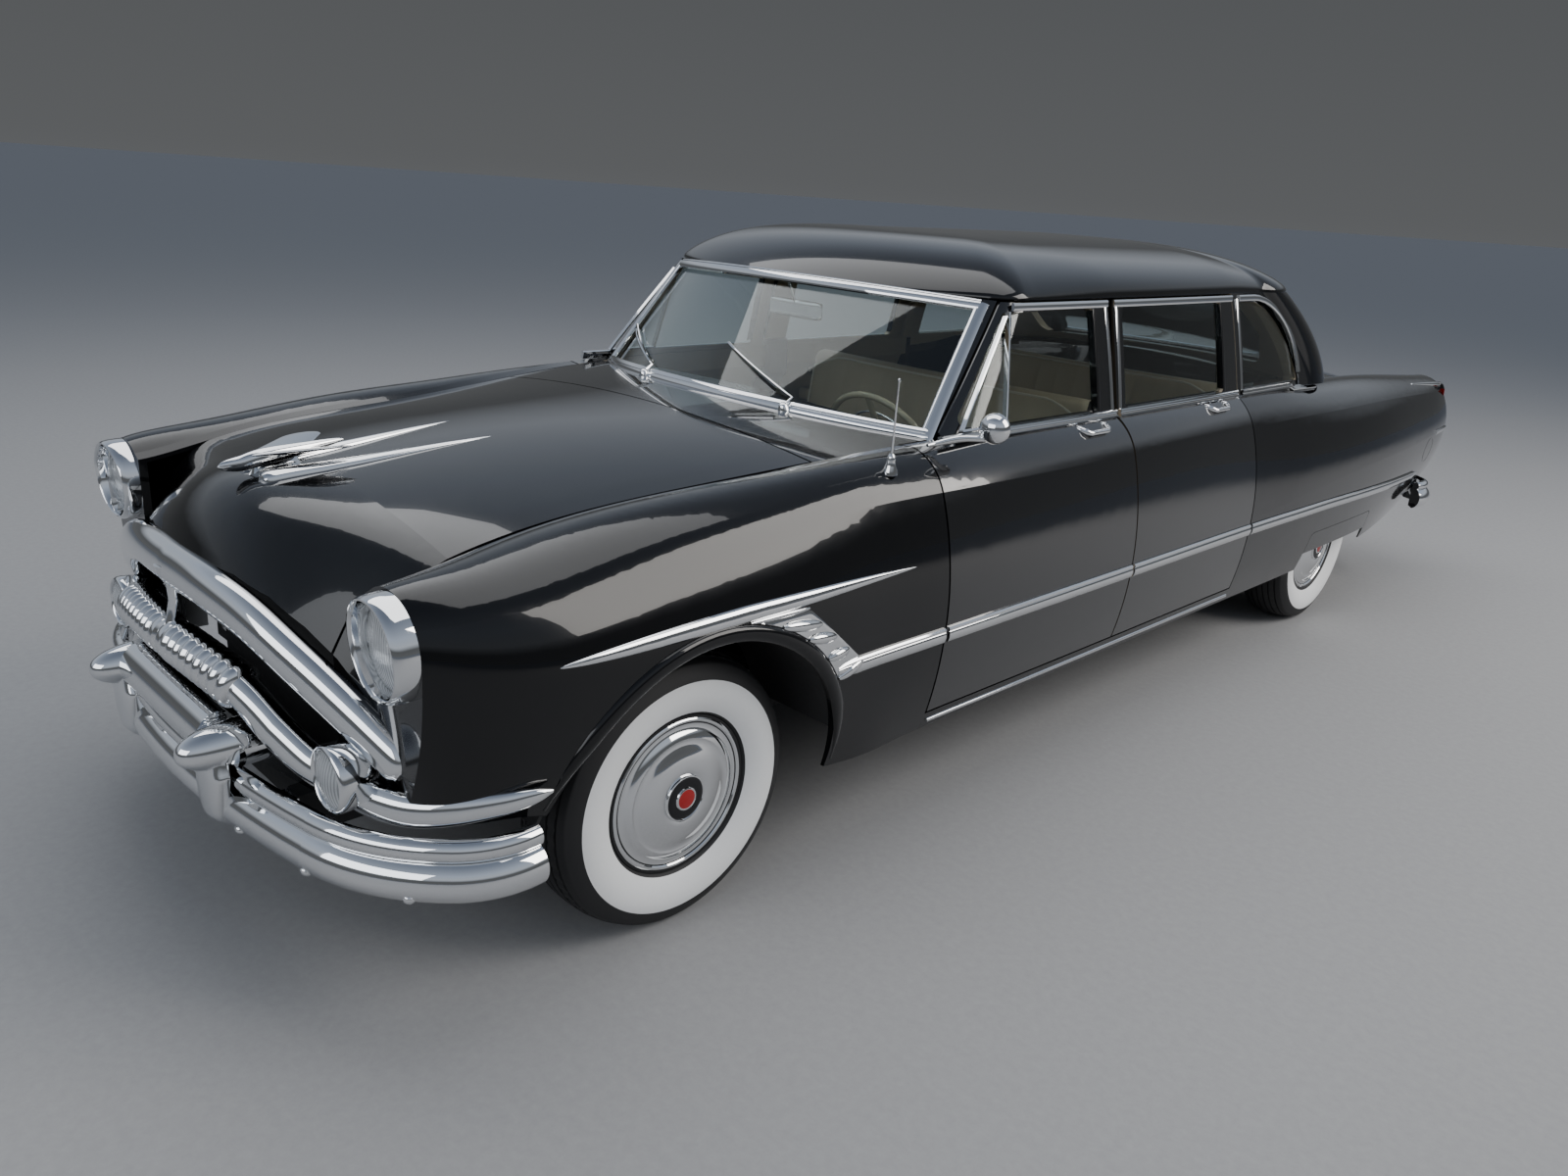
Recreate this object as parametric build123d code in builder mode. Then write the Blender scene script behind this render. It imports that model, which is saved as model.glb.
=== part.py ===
# Long-wheelbase 1950s sedan, in millimetres.
# X runs to the car's left, Y to the rear and Z up.
# The origin is on the ground, under the middle of the overall length.
from build123d import *
from collections import namedtuple
import math
import os

os.makedirs("parts", exist_ok=True)

# Driving dimensions of the car
overall_length = 6090.0
wheelbase = 3785.0
front_overhang = 915.0
front_track = 1524.0
rear_track = 1549.0

# Clearances between pieces
panel_gap = 6.0
door_gap = 7.0
seat_clearance = 0.3
pin_clearance = 0.1

# Wheels and tyres
tyre_radius = 355.0
tyre_width = 214.0
rim_radius = 191.0
rim_width = 150.0
whitewall_radius = 301.0
spindle_radius = 26.0
hub_radius = 60.0
drum_radius = 150.0
cap_radius = 197.0

# Places along the car
y_nose = -overall_length / 2
y_tail = overall_length / 2
y_front_axle = y_nose + front_overhang
y_rear_axle = y_front_axle + wheelbase
y_door_front = -1300.0
y_door_split = -290.0
y_door_rear = 610.0
y_hood_rear = -1610.0
y_boot_front = 1640.0
y_boot_rear = 2900.0

y_frame_foot = -1138.0

# Door hinges, upright on the widest plane of the body just ahead of each door
x_door_hinge = 983.0
hinge_lead = 1.5

# Heights
z_sill_bottom = 322.0
z_sill_top = 378.0
z_floor = 352.0
z_roof_seam = 1496.0
z_pillar_joint = 1160.0
z_door_top = 1484.0
z_hub = tyre_radius

# Sheet and wall thicknesses
floor_sheet = 10.0
tunnel_radius = 176.0
z_tunnel = 400.0
glass_sheet = 6.0
glass_inset = 12.0
door_frame_thickness = 30.0
greenhouse_wall = 56.0
crown_wall = 22.0
wheelhouse_sheet = 8.0

# Wheel openings
front_arch_radius = 432.0
rear_arch_radius = 395.0
z_skirt_top = 500.0
z_skirt_bottom = 405.0

# Body section, one row per station along the car. The outer curve climbs from the low edge to
# the widest point and the shoulder, then over the crest to the seam; z_crown is the centreline.
Side = namedtuple("Side", "y z_low x_low x_mid z_mid x_sh z_sh x_in z_in x_cut z_cut z_crown wall")
side_table = [
    Side(-2808, 500, 780, 880, 850, 856, 935, 680, 965, 655, 952, 1035, 22),
    Side(-2740, 497, 856, 915, 830, 882, 940, 680, 975, 655, 962, 1050, 22),
    Side(-2620, 490, 896, 950, 800, 902, 945, 680, 1000, 655, 988, 1060, 22),
    Side(-2400, 420, 912, 970, 770, 912, 958, 676, 1038, 650, 1028, 1082, 22),
    Side(-2130, 345, 916, 978, 740, 914, 980, 680, 1062, 655, 1052, 1108, 22),
    Side(-1700, 325, 924, 980, 700, 912, 1010, 740, 1092, 705, 1084, 1133, 26),
    Side(-1300, 322, 928, 979, 680, 918, 1015, 800, 1116, 755, 1112, 1146, 60),
    Side(-800, 322, 930, 979, 670, 922, 1012, 832, 1121, 785, 1124, 1150, 74),
    Side(-290, 322, 930, 978, 660, 924, 1010, 835, 1122, 785, 1126, 1155, 74),
    Side(200, 322, 930, 976, 660, 922, 1008, 835, 1122, 785, 1126, 1160, 74),
    Side(610, 322, 930, 976, 665, 916, 1010, 832, 1122, 785, 1126, 1165, 70),
    Side(950, 324, 933, 982, 690, 914, 1012, 824, 1120, 775, 1124, 1166, 40),
    Side(1300, 328, 936, 989, 720, 915, 1010, 780, 1112, 735, 1112, 1160, 25),
    Side(1655, 335, 934, 992, 745, 914, 1008, 700, 1094, 660, 1088, 1130, 22),
    Side(2050, 350, 920, 986, 760, 906, 1005, 645, 1068, 615, 1060, 1104, 22),
    Side(2400, 380, 895, 968, 770, 893, 995, 622, 1036, 596, 1026, 1070, 22),
    Side(2750, 415, 855, 942, 782, 876, 984, 612, 985, 590, 972, 1020, 22),
    Side(3000, 450, 815, 912, 790, 860, 972, 610, 940, 590, 925, 965, 22),
]

# Nose of the hood ahead of the fender crest: seam edge and centre height
Nose = namedtuple("Nose", "y x_cut z_cut z_crown")
nose_table = [
    Nose(-2960, 655, 190, 830),
    Nose(-2903, 655, 395, 952),
    Nose(-2847, 655, 600, 1010),
    Nose(-2790, 655, 775, 1040),
    Nose(-2733, 655, 895, 1051),
    Nose(-2677, 655, 958, 1056),
]
crown_low = 120.0

# Greenhouse, one row per level: windshield centre and corner, start and end of the straight
# side, rear corner and rear centre of the half outline
Level = namedtuple("Level", "z y_front x_a y_a x_side y_side x_mid x_rear y_rear x_c y_c y_back")
band_table = [
    Level(1070, -1422, 750, -1200, 841, -1034, 847, 841, 1120, 640, 1458, 1617),
    Level(1300, -1210, 712, -1025, 792, -889, 798, 790, 962, 610, 1273, 1425),
    Level(1496, -1024, 678, -870, 745, -764, 751, 742, 675, 540, 1005, 1140),
]
roof_rim = Level(1496, -1034, 686, -880, 754, -773, 760, 750, 673, 545, 1014, 1150)
roof_wall = 24.0
roof_corner = 56.0

# Roof crown: height of the centreline along the car, and how far it falls towards the sides
Crown = namedtuple("Crown", "y z_crown")
crown_table = [
    Crown(-1150, 1536), Crown(-770, 1602), Crown(-390, 1622), Crown(-10, 1627), Crown(370, 1620),
    Crown(750, 1600), Crown(1130, 1552), Crown(1300, 1520),
]
x_roof_crown, roof_crown_fall = 800.0, 73.0

# Window outlines in side view, as (y, z) corners
front_window = [(-1108, 1143), (-860, 1456), (-402, 1462), (-402, 1143)]
rear_window = [(-232, 1143), (-232, 1464), (482, 1466), (482, 1143)]
z_quarter_low = 1143.0
y_quarter_front = 652.0
y_quarter_rear = 1172.0


def station(row):
    """Plane square to the car's length at a row of a table."""
    return Plane.XZ.offset(-row.y)


def side_section(row, inset=0.0, drop=0.0):
    """Closed half section of the body side at one station, taken in by the inset."""
    low = (row.x_low - inset, row.z_low - drop)
    mid = (row.x_mid - inset, row.z_mid)
    shoulder = (row.x_sh - inset, row.z_sh - 0.4 * inset)
    inner = (row.x_in - 0.3 * inset, row.z_in - inset)
    cut = (row.x_cut - drop, row.z_cut - inset)
    with BuildSketch(station(row)) as section:
        with BuildLine():
            TangentArc(mid, low, tangent=(0, -1))
            flank = TangentArc(mid, shoulder, tangent=(0, 1))
            TangentArc(shoulder, inner, tangent=flank % 1)
            Line(inner, cut)
            Polyline(cut, (cut[0], low[1]), low)
        make_face()
    return section.sketch


def crown_section(row, inset=0.0, widen=0.0):
    """Closed full-width section under the hood or the deck at one station."""
    edge = row.x_cut + widen
    low = crown_low - inset - widen
    z_edge = row.z_cut - inset - (row.z_crown - row.z_cut) * ((edge / row.x_cut) ** 2 - 1)
    with BuildSketch(station(row)) as section:
        with BuildLine():
            ThreePointArc((-edge, z_edge), (0, row.z_crown - inset), (edge, z_edge))
            Polyline((edge, z_edge), (edge, low), (-edge, low), (-edge, z_edge))
        make_face()
    return section.sketch


def outline(row, inset=0.0):
    """Closed plan outline of the greenhouse at one level, taken in by the inset."""
    front = (0, row.y_front + inset)
    a = (row.x_a - 0.6 * inset, row.y_a + 0.8 * inset)
    side = (row.x_side - inset, row.y_side)
    middle = (row.x_mid - inset, (row.y_side + row.y_rear) / 2)
    rear = (row.x_rear - inset, row.y_rear)
    c = (row.x_c - 0.5 * inset, row.y_c - 0.8 * inset)
    back = (0, row.y_back - inset)
    with BuildSketch(Plane.XY.offset(row.z)) as section:
        with BuildLine():
            shield = TangentArc(front, a, tangent=(1, 0))
            TangentArc(a, side, tangent=shield % 1)
            ThreePointArc(side, middle, rear)
            pane = TangentArc(back, c, tangent=(1, 0))
            TangentArc(c, rear, tangent=pane % 1)
            mirror(about=Plane.YZ)
        make_face()
    return section.sketch


def lengthwise(points, x0, x1, radius=0.0):
    """Prism across the car with a side-view outline of (y, z) points."""
    with BuildPart() as made:
        with BuildSketch(Plane.YZ.offset(x0)) as face:
            with BuildLine():
                Polyline(*points, close=True)
            make_face()
            if radius:
                fillet(face.vertices(), radius)
        extrude(amount=x1 - x0)
    return made.part


def frontal(points, y0, y1, radius=0.0):
    """Prism along the car with a front-view outline of (x, z) points."""
    with BuildPart() as made:
        with BuildSketch(Plane.XZ.offset(-y1)) as face:
            with BuildLine():
                Polyline(*points, close=True)
            make_face()
            if radius:
                fillet(face.vertices(), radius)
        extrude(amount=y1 - y0)
    return made.part


def plan(points, z0, z1, radius=0.0):
    """Upright prism with a plan outline of (x, y) points."""
    with BuildPart() as made:
        with BuildSketch(Plane.XY.offset(z0)) as face:
            with BuildLine():
                Polyline(*points, close=True)
            make_face()
            if radius:
                fillet(face.vertices(), radius)
        extrude(amount=z1 - z0)
    return made.part


def block(x0, x1, y0, y1, z0, z1):
    """Rectangular solid between six planes."""
    return plan([(x0, y0), (x1, y0), (x1, y1), (x0, y1)], z0, z1)


def mirrored(solid):
    """The same piece for the right-hand side."""
    with BuildPart() as made:
        mirror(solid, about=Plane.YZ)
    return made.part


def both_sides(solid):
    """The left-hand piece and its mirror image together."""
    with BuildPart() as made:
        add(solid)
        mirror(about=Plane.YZ)
    return made.part


def drum(radius, y, z, x0, x1):
    """Cylinder across the car."""
    with BuildPart() as made:
        with BuildSketch(Plane.YZ.offset(x0)):
            with Locations((y, z)):
                Circle(radius)
        extrude(amount=x1 - x0)
    return made.part


def loft_of(sections):
    """Smooth loft through a list of sections."""
    with BuildPart() as made:
        loft(sections=sections)
    return made.part


def roof_arch(row, drop):
    """Full-width section under the roof's crown at one station, lowered by the drop."""
    x, z_side = x_roof_crown, row.z_crown - drop - roof_crown_fall
    with BuildSketch(station(row)) as section:
        with BuildLine():
            ThreePointArc((-x, z_side), (0, row.z_crown - drop), (x, z_side))
            Polyline((x, z_side), (x, 1300), (-x, 1300), (-x, z_side))
        make_face()
    return section.sketch


def roof_form(inset, radius):
    """Roof as a solid cushion: the greenhouse outline raised to the crown, with a rounded rim."""
    with BuildPart() as made:
        add(outline(roof_rim._replace(z=z_roof_seam - inset), inset))
        extrude(amount=300, taper=8)
        add(loft_of([roof_arch(row, inset) for row in crown_table]), mode=Mode.INTERSECT)
        fillet(made.faces().sort_by(Axis.Z)[-1].edges(), radius)
    return made.part


# Master forms that the panels are cut from
side_outer = loft_of([side_section(row) for row in side_table])
side_inner = loft_of([side_section(row, inset=row.wall, drop=60) for row in side_table])
side_hollow = side_inner.moved(Location((-seat_clearance, 0, -seat_clearance)))
nose_rows = nose_table + side_table[2:3]
hood_rows = side_table[2:9]
deck_rows = side_table[10:]
nose_crown = loft_of([crown_section(row) for row in nose_rows])
nose_under = loft_of([crown_section(row, crown_wall, 40) for row in nose_rows])
hood_crown = loft_of([crown_section(row) for row in hood_rows])
hood_under = loft_of([crown_section(row, crown_wall, 40) for row in hood_rows])
deck_crown = loft_of([crown_section(row) for row in deck_rows])
deck_under = loft_of([crown_section(row, crown_wall, 40) for row in deck_rows])
band_outer = loft_of([outline(row) for row in band_table])
band_frame = loft_of([outline(row, door_frame_thickness) for row in band_table])
band_pillar = loft_of([outline(row, door_frame_thickness + panel_gap) for row in band_table])
band_inner = loft_of([outline(row, greenhouse_wall) for row in band_table])
pane_outer = loft_of([outline(row, glass_inset) for row in band_table])
pane_inner = loft_of([outline(row, glass_inset + glass_sheet) for row in band_table])
roof_outer = roof_form(0, roof_corner)
roof_inner = roof_form(roof_wall, roof_corner - roof_wall / 2)


# Cutters shared by the panels that meet along them
far = 1300.0
half_gap = door_gap / 2
x_nose_seam = 549.0
seam_lift = 20.0
seam_cut = both_sides(side_outer.moved(Location((-seat_clearance, 0, seam_lift))))
seam_gap = both_sides(side_outer.moved(Location((-panel_gap, 0, seam_lift))))
y_fender_rear = y_door_front - half_gap
y_quarter_start = y_door_rear + half_gap
grille_arch = [(0, 905), (250, 897), (365, 874), (470, 832), (560, 785), (700, 690), (780, 600)]
front_mouth = frontal(
    [(-x, z) for x, z in reversed(grille_arch)] + grille_arch[1:] + [(780, 60), (-780, 60)], -3100, -2700)
door_pane_front = lengthwise(front_window, 500, far, 22)
door_pane_rear = lengthwise(rear_window, 500, far, 22)
quarter_outline = [
    (y_quarter_front, z_quarter_low), (y_quarter_front, 1458), (790, 1456), (905, 1425),
    (1010, 1365), (1095, 1285), (1150, 1205), (y_quarter_rear, z_quarter_low),
]
quarter_pane = both_sides(lengthwise(quarter_outline, 500, far, 12))
shield_outline = [(-738, 1085), (738, 1085), (674, 1470), (0, 1487), (-674, 1470)]
shield_pane = frontal(shield_outline, -1600, -830, 14)
back_outline = [(-560, 1160), (560, 1160), (600, 1300), (520, 1445), (-520, 1445), (-600, 1300)]
back_pane = frontal(back_outline, 900, 1800, 50)


def door_outline(y0, y1, z_top, z_bottom, grow=0.0, raked=False):
    """Side-view outline of a door, grown by the gap round it."""
    top = z_top + grow
    front = [(y0 - grow, z_bottom - grow), (y0 - grow, top)]
    if raked:
        foot = y_frame_foot - 1.3 * grow
        front = [(y0 - grow, z_bottom - grow), (y0 - grow, 1132), (foot, 1132), (foot + 0.81 * (top - 1132), top)]
    return front + [(y1 + grow, top), (y1 + grow, z_bottom - grow)]


front_door_ends = (y_fender_rear + door_gap, y_door_split - half_gap)
rear_door_ends = (y_door_split + half_gap, y_quarter_start - door_gap)


def swing(ends, gap):
    """Upright cylinder about a door's hinge, out to its rear edge and past it by the gap."""
    y_hinge = ends[0] - hinge_lead
    with BuildPart() as made:
        with BuildSketch(Plane.XY.offset(200)):
            with Locations((x_door_hinge, y_hinge)):
                Circle(ends[1] - y_hinge + gap)
        extrude(amount=1400)
    return made.part


front_door_zone = lengthwise(door_outline(*front_door_ends, z_door_top, z_sill_top, raked=True), 600, far)
rear_door_zone = lengthwise(door_outline(*rear_door_ends, z_door_top, z_sill_top), 600, far)
doorway_front = lengthwise(
    door_outline(front_door_ends[0], front_door_ends[1] + 20, z_door_top, 1000, panel_gap, True), 600, far)
with BuildPart() as doorway_rear:
    add(lengthwise(door_outline(rear_door_ends[0] - 20, rear_door_ends[1], z_door_top, 1000, panel_gap), 600, far))
    add(swing(rear_door_ends, panel_gap), mode=Mode.INTERSECT)

# Door skins and frames: the whole thickness of the side, with the window frame on the belt
frame_zone = block(700, far, y_frame_foot, y_door_rear, 1060, 1600)
with BuildPart() as door_skins:
    add(side_outer)
    add(side_inner, mode=Mode.SUBTRACT)
    add(block(600, far, y_fender_rear, y_quarter_start, z_sill_top, 1400), mode=Mode.INTERSECT)
with BuildPart() as door_frames:
    add(band_outer)
    add(band_frame, mode=Mode.SUBTRACT)
    add(frame_zone, mode=Mode.INTERSECT)
with BuildPart() as door_frame_front:
    add(door_frames.part)
    add(front_door_zone, mode=Mode.INTERSECT)
    add(door_pane_front, mode=Mode.SUBTRACT)
with BuildPart() as door_front_left:
    add(door_skins.part)
    add(front_door_zone, mode=Mode.INTERSECT)
    add(door_frame_front.part)
    add(swing(front_door_ends, 0), mode=Mode.INTERSECT)
with BuildPart() as door_frame_rear:
    add(door_frames.part)
    add(rear_door_zone, mode=Mode.INTERSECT)
    add(door_pane_rear, mode=Mode.SUBTRACT)
with BuildPart() as door_rear_left:
    add(door_skins.part)
    add(rear_door_zone, mode=Mode.INTERSECT)
    add(door_frame_rear.part)
    add(swing(rear_door_ends, 0), mode=Mode.INTERSECT)
with BuildPart() as pane_layer:
    add(pane_outer)
    add(pane_inner, mode=Mode.SUBTRACT)
with BuildPart() as door_glass_front_left:
    add(pane_layer.part)
    add(door_pane_front, mode=Mode.INTERSECT)
with BuildPart() as door_glass_rear_left:
    add(pane_layer.part)
    add(door_pane_rear, mode=Mode.INTERSECT)

# Grille surround: elliptical bar lofted along the arch
Ring = namedtuple("Ring", "x y z tilt height depth")
surround_table = [
    Ring(0, -2948, 858, 0, 90, 62),
    Ring(180, -2942, 855, -4, 90, 62),
    Ring(330, -2922, 832, -16, 90, 62),
    Ring(470, -2892, 778, -27, 88, 62),
    Ring(600, -2850, 704, -33, 86, 62),
    Ring(710, -2812, 626, -40, 80, 60),
    Ring(768, -2790, 560, -60, 62, 54),
]


def tilted_ellipse(ring, grow=0.0):
    """Ellipse square to a bar that runs outwards at the given tilt, grown all round."""
    angle = math.radians(ring.tilt)
    along = (math.cos(angle), 0.24 * ring.x / 400, math.sin(angle))
    with BuildSketch(Plane((ring.x, ring.y, ring.z), x_dir=(math.sin(angle), 0, -math.cos(angle)), z_dir=along)) as s:
        Ellipse(ring.height / 2 + grow, ring.depth / 2 + grow)
    return s.sketch


with BuildPart() as grille_surround:
    loft(sections=[tilted_ellipse(ring) for ring in surround_table])
    mirror(about=Plane.YZ)

# Grille bar with cast ribs, dropping at each side to the lamp pods and the wings
bar_radius, rib_radius, rib_width, rib_pitch, rib_count = 34.0, 45.0, 24.0, 40.0, 8
z_bar = 682.0
pod_x, pod_z, pod_radius = 640.0, 562.0, 66.0
bar_table = [
    Ring(0, -2965, z_bar, 0, 68, 68),
    Ring(180, -2957, z_bar - 2, -3, 68, 68),
    Ring(330, -2938, z_bar - 22, -22, 66, 66),
    Ring(430, -2906, 592, -42, 62, 64),
    Ring(520, -2872, 540, -18, 60, 64),
    Ring(600, -2845, 528, -4, 60, 64),
    Ring(700, -2800, 516, 2, 62, 60),
    Ring(800, -2728, 522, 8, 66, 50),
    Ring(890, -2636, 540, 14, 56, 36),
    Ring(942, -2568, 556, 16, 16, 10),
]
with BuildPart() as ribbed_bar:
    loft(sections=[tilted_ellipse(ring) for ring in bar_table], ruled=True)
    for i in range(rib_count):
        x = 45 + i * rib_pitch
        y = -2965 + 27 * (x / 330) ** 2
        z = z_bar - 20 * max(0, (x - 160) / 170) ** 1.6
        with BuildSketch(Plane.XY.offset(z)):
            with BuildLine():
                Polyline((x - rib_width / 2, y), (x - rib_width / 2, y + bar_radius - 4))
                ThreePointArc((x - rib_width / 2, y + bar_radius - 4), (x, y + rib_radius),
                              (x + rib_width / 2, y + bar_radius - 4))
                Polyline((x + rib_width / 2, y + bar_radius - 4), (x + rib_width / 2, y), (x - rib_width / 2, y))
            make_face()
        revolve(axis=Axis((x, y, z), (1, 0, 0)))
    mirror(about=Plane.YZ)

# Front fender with the headlamp nacelle and the strip beside the nose of the hood
lamp_x, lamp_z, lamp_bore = 767.0, 876.0, 94.0
y_lamp_face = side_table[0].y
nose_shell = nose_under.moved(Location((0, crown_wall, 0)))
nose_seam = [(x_nose_seam, -2900), (x_nose_seam, -2787), (655, -2742), (655, -2900)]
with BuildPart() as nose_strip:
    add(nose_crown)
    add(nose_shell, mode=Mode.SUBTRACT)
    add(plan(nose_seam, 640, 1100), mode=Mode.INTERSECT)
    add(front_mouth, mode=Mode.SUBTRACT)
with BuildPart() as front_cavity:
    add(side_inner)
    add(block(500, far, y_lamp_face, y_lamp_face + 22, 200, 1200), mode=Mode.SUBTRACT)
with BuildPart() as lamp_hole:
    with BuildSketch(Plane.XZ.offset(2750)):
        with Locations((lamp_x, lamp_z)):
            Circle(lamp_bore)
    extrude(amount=150)
with BuildPart() as wing_seat:
    loft(sections=[tilted_ellipse(ring, seat_clearance) for ring in bar_table[5:]], ruled=True)
with BuildPart() as front_fender_left:
    add(side_outer)
    add(block(500, far, y_lamp_face, y_fender_rear, 200, 1300), mode=Mode.INTERSECT)
    add(front_cavity.part, mode=Mode.SUBTRACT)
    add(nose_strip.part)
    add(drum(front_arch_radius, y_front_axle, z_hub + 5, 800, far), mode=Mode.SUBTRACT)
    add(lamp_hole.part, mode=Mode.SUBTRACT)
    add(loft_of([tilted_ellipse(ring, seat_clearance) for ring in surround_table]), mode=Mode.SUBTRACT)
    add(wing_seat.part, mode=Mode.SUBTRACT)

# Rear quarter with the wheel opening, and the skirt that closes its upper part
y_tail_face = side_table[-1].y
skirt_outline = [(1262, 300), (1287, z_skirt_top), (1982, z_skirt_top), (2040, 300)]
skirt_inner = [(y + (2 if y < 1600 else -2), z - (2 if z > 400 else 0)) for y, z in skirt_outline]
with BuildPart() as rear_cavity:
    add(side_inner)
    add(block(500, far, y_tail_face - 22, y_tail_face, 200, 1200), mode=Mode.SUBTRACT)
    add(block(815, far, 500, y_quarter_start + 40, z_sill_top - panel_gap, 1080), mode=Mode.SUBTRACT)
bumper_recess = block(-far, far, 2835, 3100, 0, 565)
with BuildPart() as quarter_zone:
    add(block(500, far, y_quarter_start, y_tail_face, 200, 1300))
    add(block(500, far, y_quarter_start - 40, y_quarter_start, z_sill_top + panel_gap, 1300))
    add(swing(rear_door_ends, door_gap), mode=Mode.SUBTRACT)
with BuildPart() as rear_quarter_left:
    add(side_outer)
    add(quarter_zone.part, mode=Mode.INTERSECT)
    add(rear_cavity.part, mode=Mode.SUBTRACT)
    add(lengthwise(skirt_outline, 800, far, 30), mode=Mode.SUBTRACT)
    add(bumper_recess, mode=Mode.SUBTRACT)
with BuildPart() as skirt_left:
    add(side_outer)
    add(block(800, far, 1200, 2100, z_skirt_bottom, 600), mode=Mode.INTERSECT)
    add(side_inner, mode=Mode.SUBTRACT)
    add(lengthwise(skirt_inner, 800, far, 30), mode=Mode.INTERSECT)
with BuildPart() as skirts:
    add(skirt_left.part)
    mirror(about=Plane.YZ)

# Hood: crowned skin, open below, with the nose rolled down to the grille arch
x_seam = x_nose_seam - panel_gap
nose_notch = both_sides(
    plan([(x_seam, -3100), (x_seam, -2783), (655 - panel_gap, -2738), (far, -2738), (far, -3100)], 0, 1400))
with BuildPart() as hood:
    add(nose_crown)
    add(hood_crown)
    add(block(-far, far, -3100, y_hood_rear, 0, 1400), mode=Mode.INTERSECT)
    add(nose_shell, mode=Mode.SUBTRACT)
    add(hood_under, mode=Mode.SUBTRACT)
    add(seam_gap, mode=Mode.SUBTRACT)
    add(nose_notch, mode=Mode.SUBTRACT)
    add(front_mouth, mode=Mode.SUBTRACT)

# Cowl, firewall and hinge pillars
y_firewall = -1462.0
y_cowl_rear = -1190.0
with BuildPart() as door_seam:
    add(seam_gap)
    add(block(-far, far, y_fender_rear, 0, 0, 1400), mode=Mode.INTERSECT)
with BuildPart() as firewall:
    add(block(-690, 690, y_firewall, y_firewall + 12, z_floor, 1200))
    add(hood_under, mode=Mode.INTERSECT)
    with BuildSketch(Plane.XZ.offset(-y_firewall - 20)):
        with Locations((0, z_tunnel)):
            Circle(tunnel_radius)
    extrude(amount=40, mode=Mode.SUBTRACT)
with BuildPart() as hinge_pillar:
    add(block(680, far, y_firewall, y_fender_rear - 6, z_sill_top - panel_gap, 1200))
    add(block(600, 800, y_firewall + 12, y_fender_rear, 300, 1000), mode=Mode.SUBTRACT)
    add(side_hollow, mode=Mode.INTERSECT)
with BuildPart() as cowl:
    add(hood_crown)
    add(block(-far, far, y_hood_rear + panel_gap, y_cowl_rear, 300, 1400), mode=Mode.INTERSECT)
    add(hood_under, mode=Mode.SUBTRACT)
    add(seam_cut, mode=Mode.SUBTRACT)
    add(door_seam.part, mode=Mode.SUBTRACT)
    add(firewall.part)
    add(both_sides(hinge_pillar.part))

# Deck panel round the boot opening, with the tray under the rear window
x_boot = 556.0
z_boot_sill = 640.0
boot_cut = plan([(-x_boot, y_boot_front), (x_boot, y_boot_front), (x_boot, 3100), (-x_boot, 3100)],
                z_boot_sill, 1400)
lid_x = x_boot - panel_gap
lid_y = y_boot_front + panel_gap
boot_lid_zone = plan([(-lid_x, lid_y), (lid_x, lid_y), (lid_x, 3100), (-lid_x, 3100)], z_boot_sill + panel_gap, 1400)
with BuildPart() as tail_form:
    add(deck_crown)
    add(block(-660, 660, 900, 2960, 430, 1400), mode=Mode.INTERSECT)
    fillet(tail_form.edges().filter_by_position(Axis.Y, 2959, 2961).sort_by(Axis.Z)[-1], 150)
with BuildPart() as tail_hollow:
    add(deck_under)
    add(block(-far, far, 500, 2938, 0, 1400), mode=Mode.INTERSECT)
    fillet(tail_hollow.edges().filter_by_position(Axis.Y, 2937, 2939).sort_by(Axis.Z)[-1], 150 - crown_wall)
with BuildPart() as tail_shell:
    add(tail_form.part)
    add(tail_hollow.part, mode=Mode.SUBTRACT)
with BuildPart() as rear_deck:
    add(tail_shell.part)
    add(block(-far, far, 1180, 3100, 430, 1400), mode=Mode.INTERSECT)
    add(seam_cut, mode=Mode.SUBTRACT)
    add(boot_cut, mode=Mode.SUBTRACT)
    add(bumper_recess, mode=Mode.SUBTRACT)
with BuildPart() as boot_lid:
    add(tail_shell.part)
    add(boot_lid_zone, mode=Mode.INTERSECT)

# Greenhouse frame: posts, rails and quarter frames in one welded piece
with BuildPart() as outer_layer:
    add(doorway_front)
    add(doorway_rear.part)
    mirror(about=Plane.YZ)
    add(band_pillar, mode=Mode.SUBTRACT)
with BuildPart() as doorways:
    add(lengthwise([(-1118, 1000), (-1118, 1142), (-862, 1462), (-352, 1468), (-352, 1000)], 500, far))
    add(lengthwise([(-236, 1000), (-236, 1470), (545, 1472), (545, 1000)], 500, far))
    add(block(500, far, -1303, y_quarter_start, 1000, 1135))
    add(block(500, far, -352, -236, 1000, z_pillar_joint))
    mirror(about=Plane.YZ)
with BuildPart() as body_below:
    add(hood_crown)
    add(deck_crown)
    add(both_sides(side_outer))
with BuildPart() as upper_frame:
    add(band_outer)
    add(band_inner, mode=Mode.SUBTRACT)
    add(doorways.part, mode=Mode.SUBTRACT)
    add(outer_layer.part, mode=Mode.SUBTRACT)
    add(quarter_pane, mode=Mode.SUBTRACT)
    add(shield_pane, mode=Mode.SUBTRACT)
    add(back_pane, mode=Mode.SUBTRACT)
    add(body_below.part, mode=Mode.SUBTRACT)
with BuildPart() as fixed_panes:
    add(quarter_pane)
    add(shield_pane)
    add(back_pane)
with BuildPart() as fixed_glass:
    add(pane_layer.part)
    add(fixed_panes.part, mode=Mode.INTERSECT)
    add(hood_crown, mode=Mode.SUBTRACT)
    add(deck_crown, mode=Mode.SUBTRACT)
with BuildPart() as roof_panel:
    add(roof_outer)
    add(roof_inner, mode=Mode.SUBTRACT)

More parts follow.
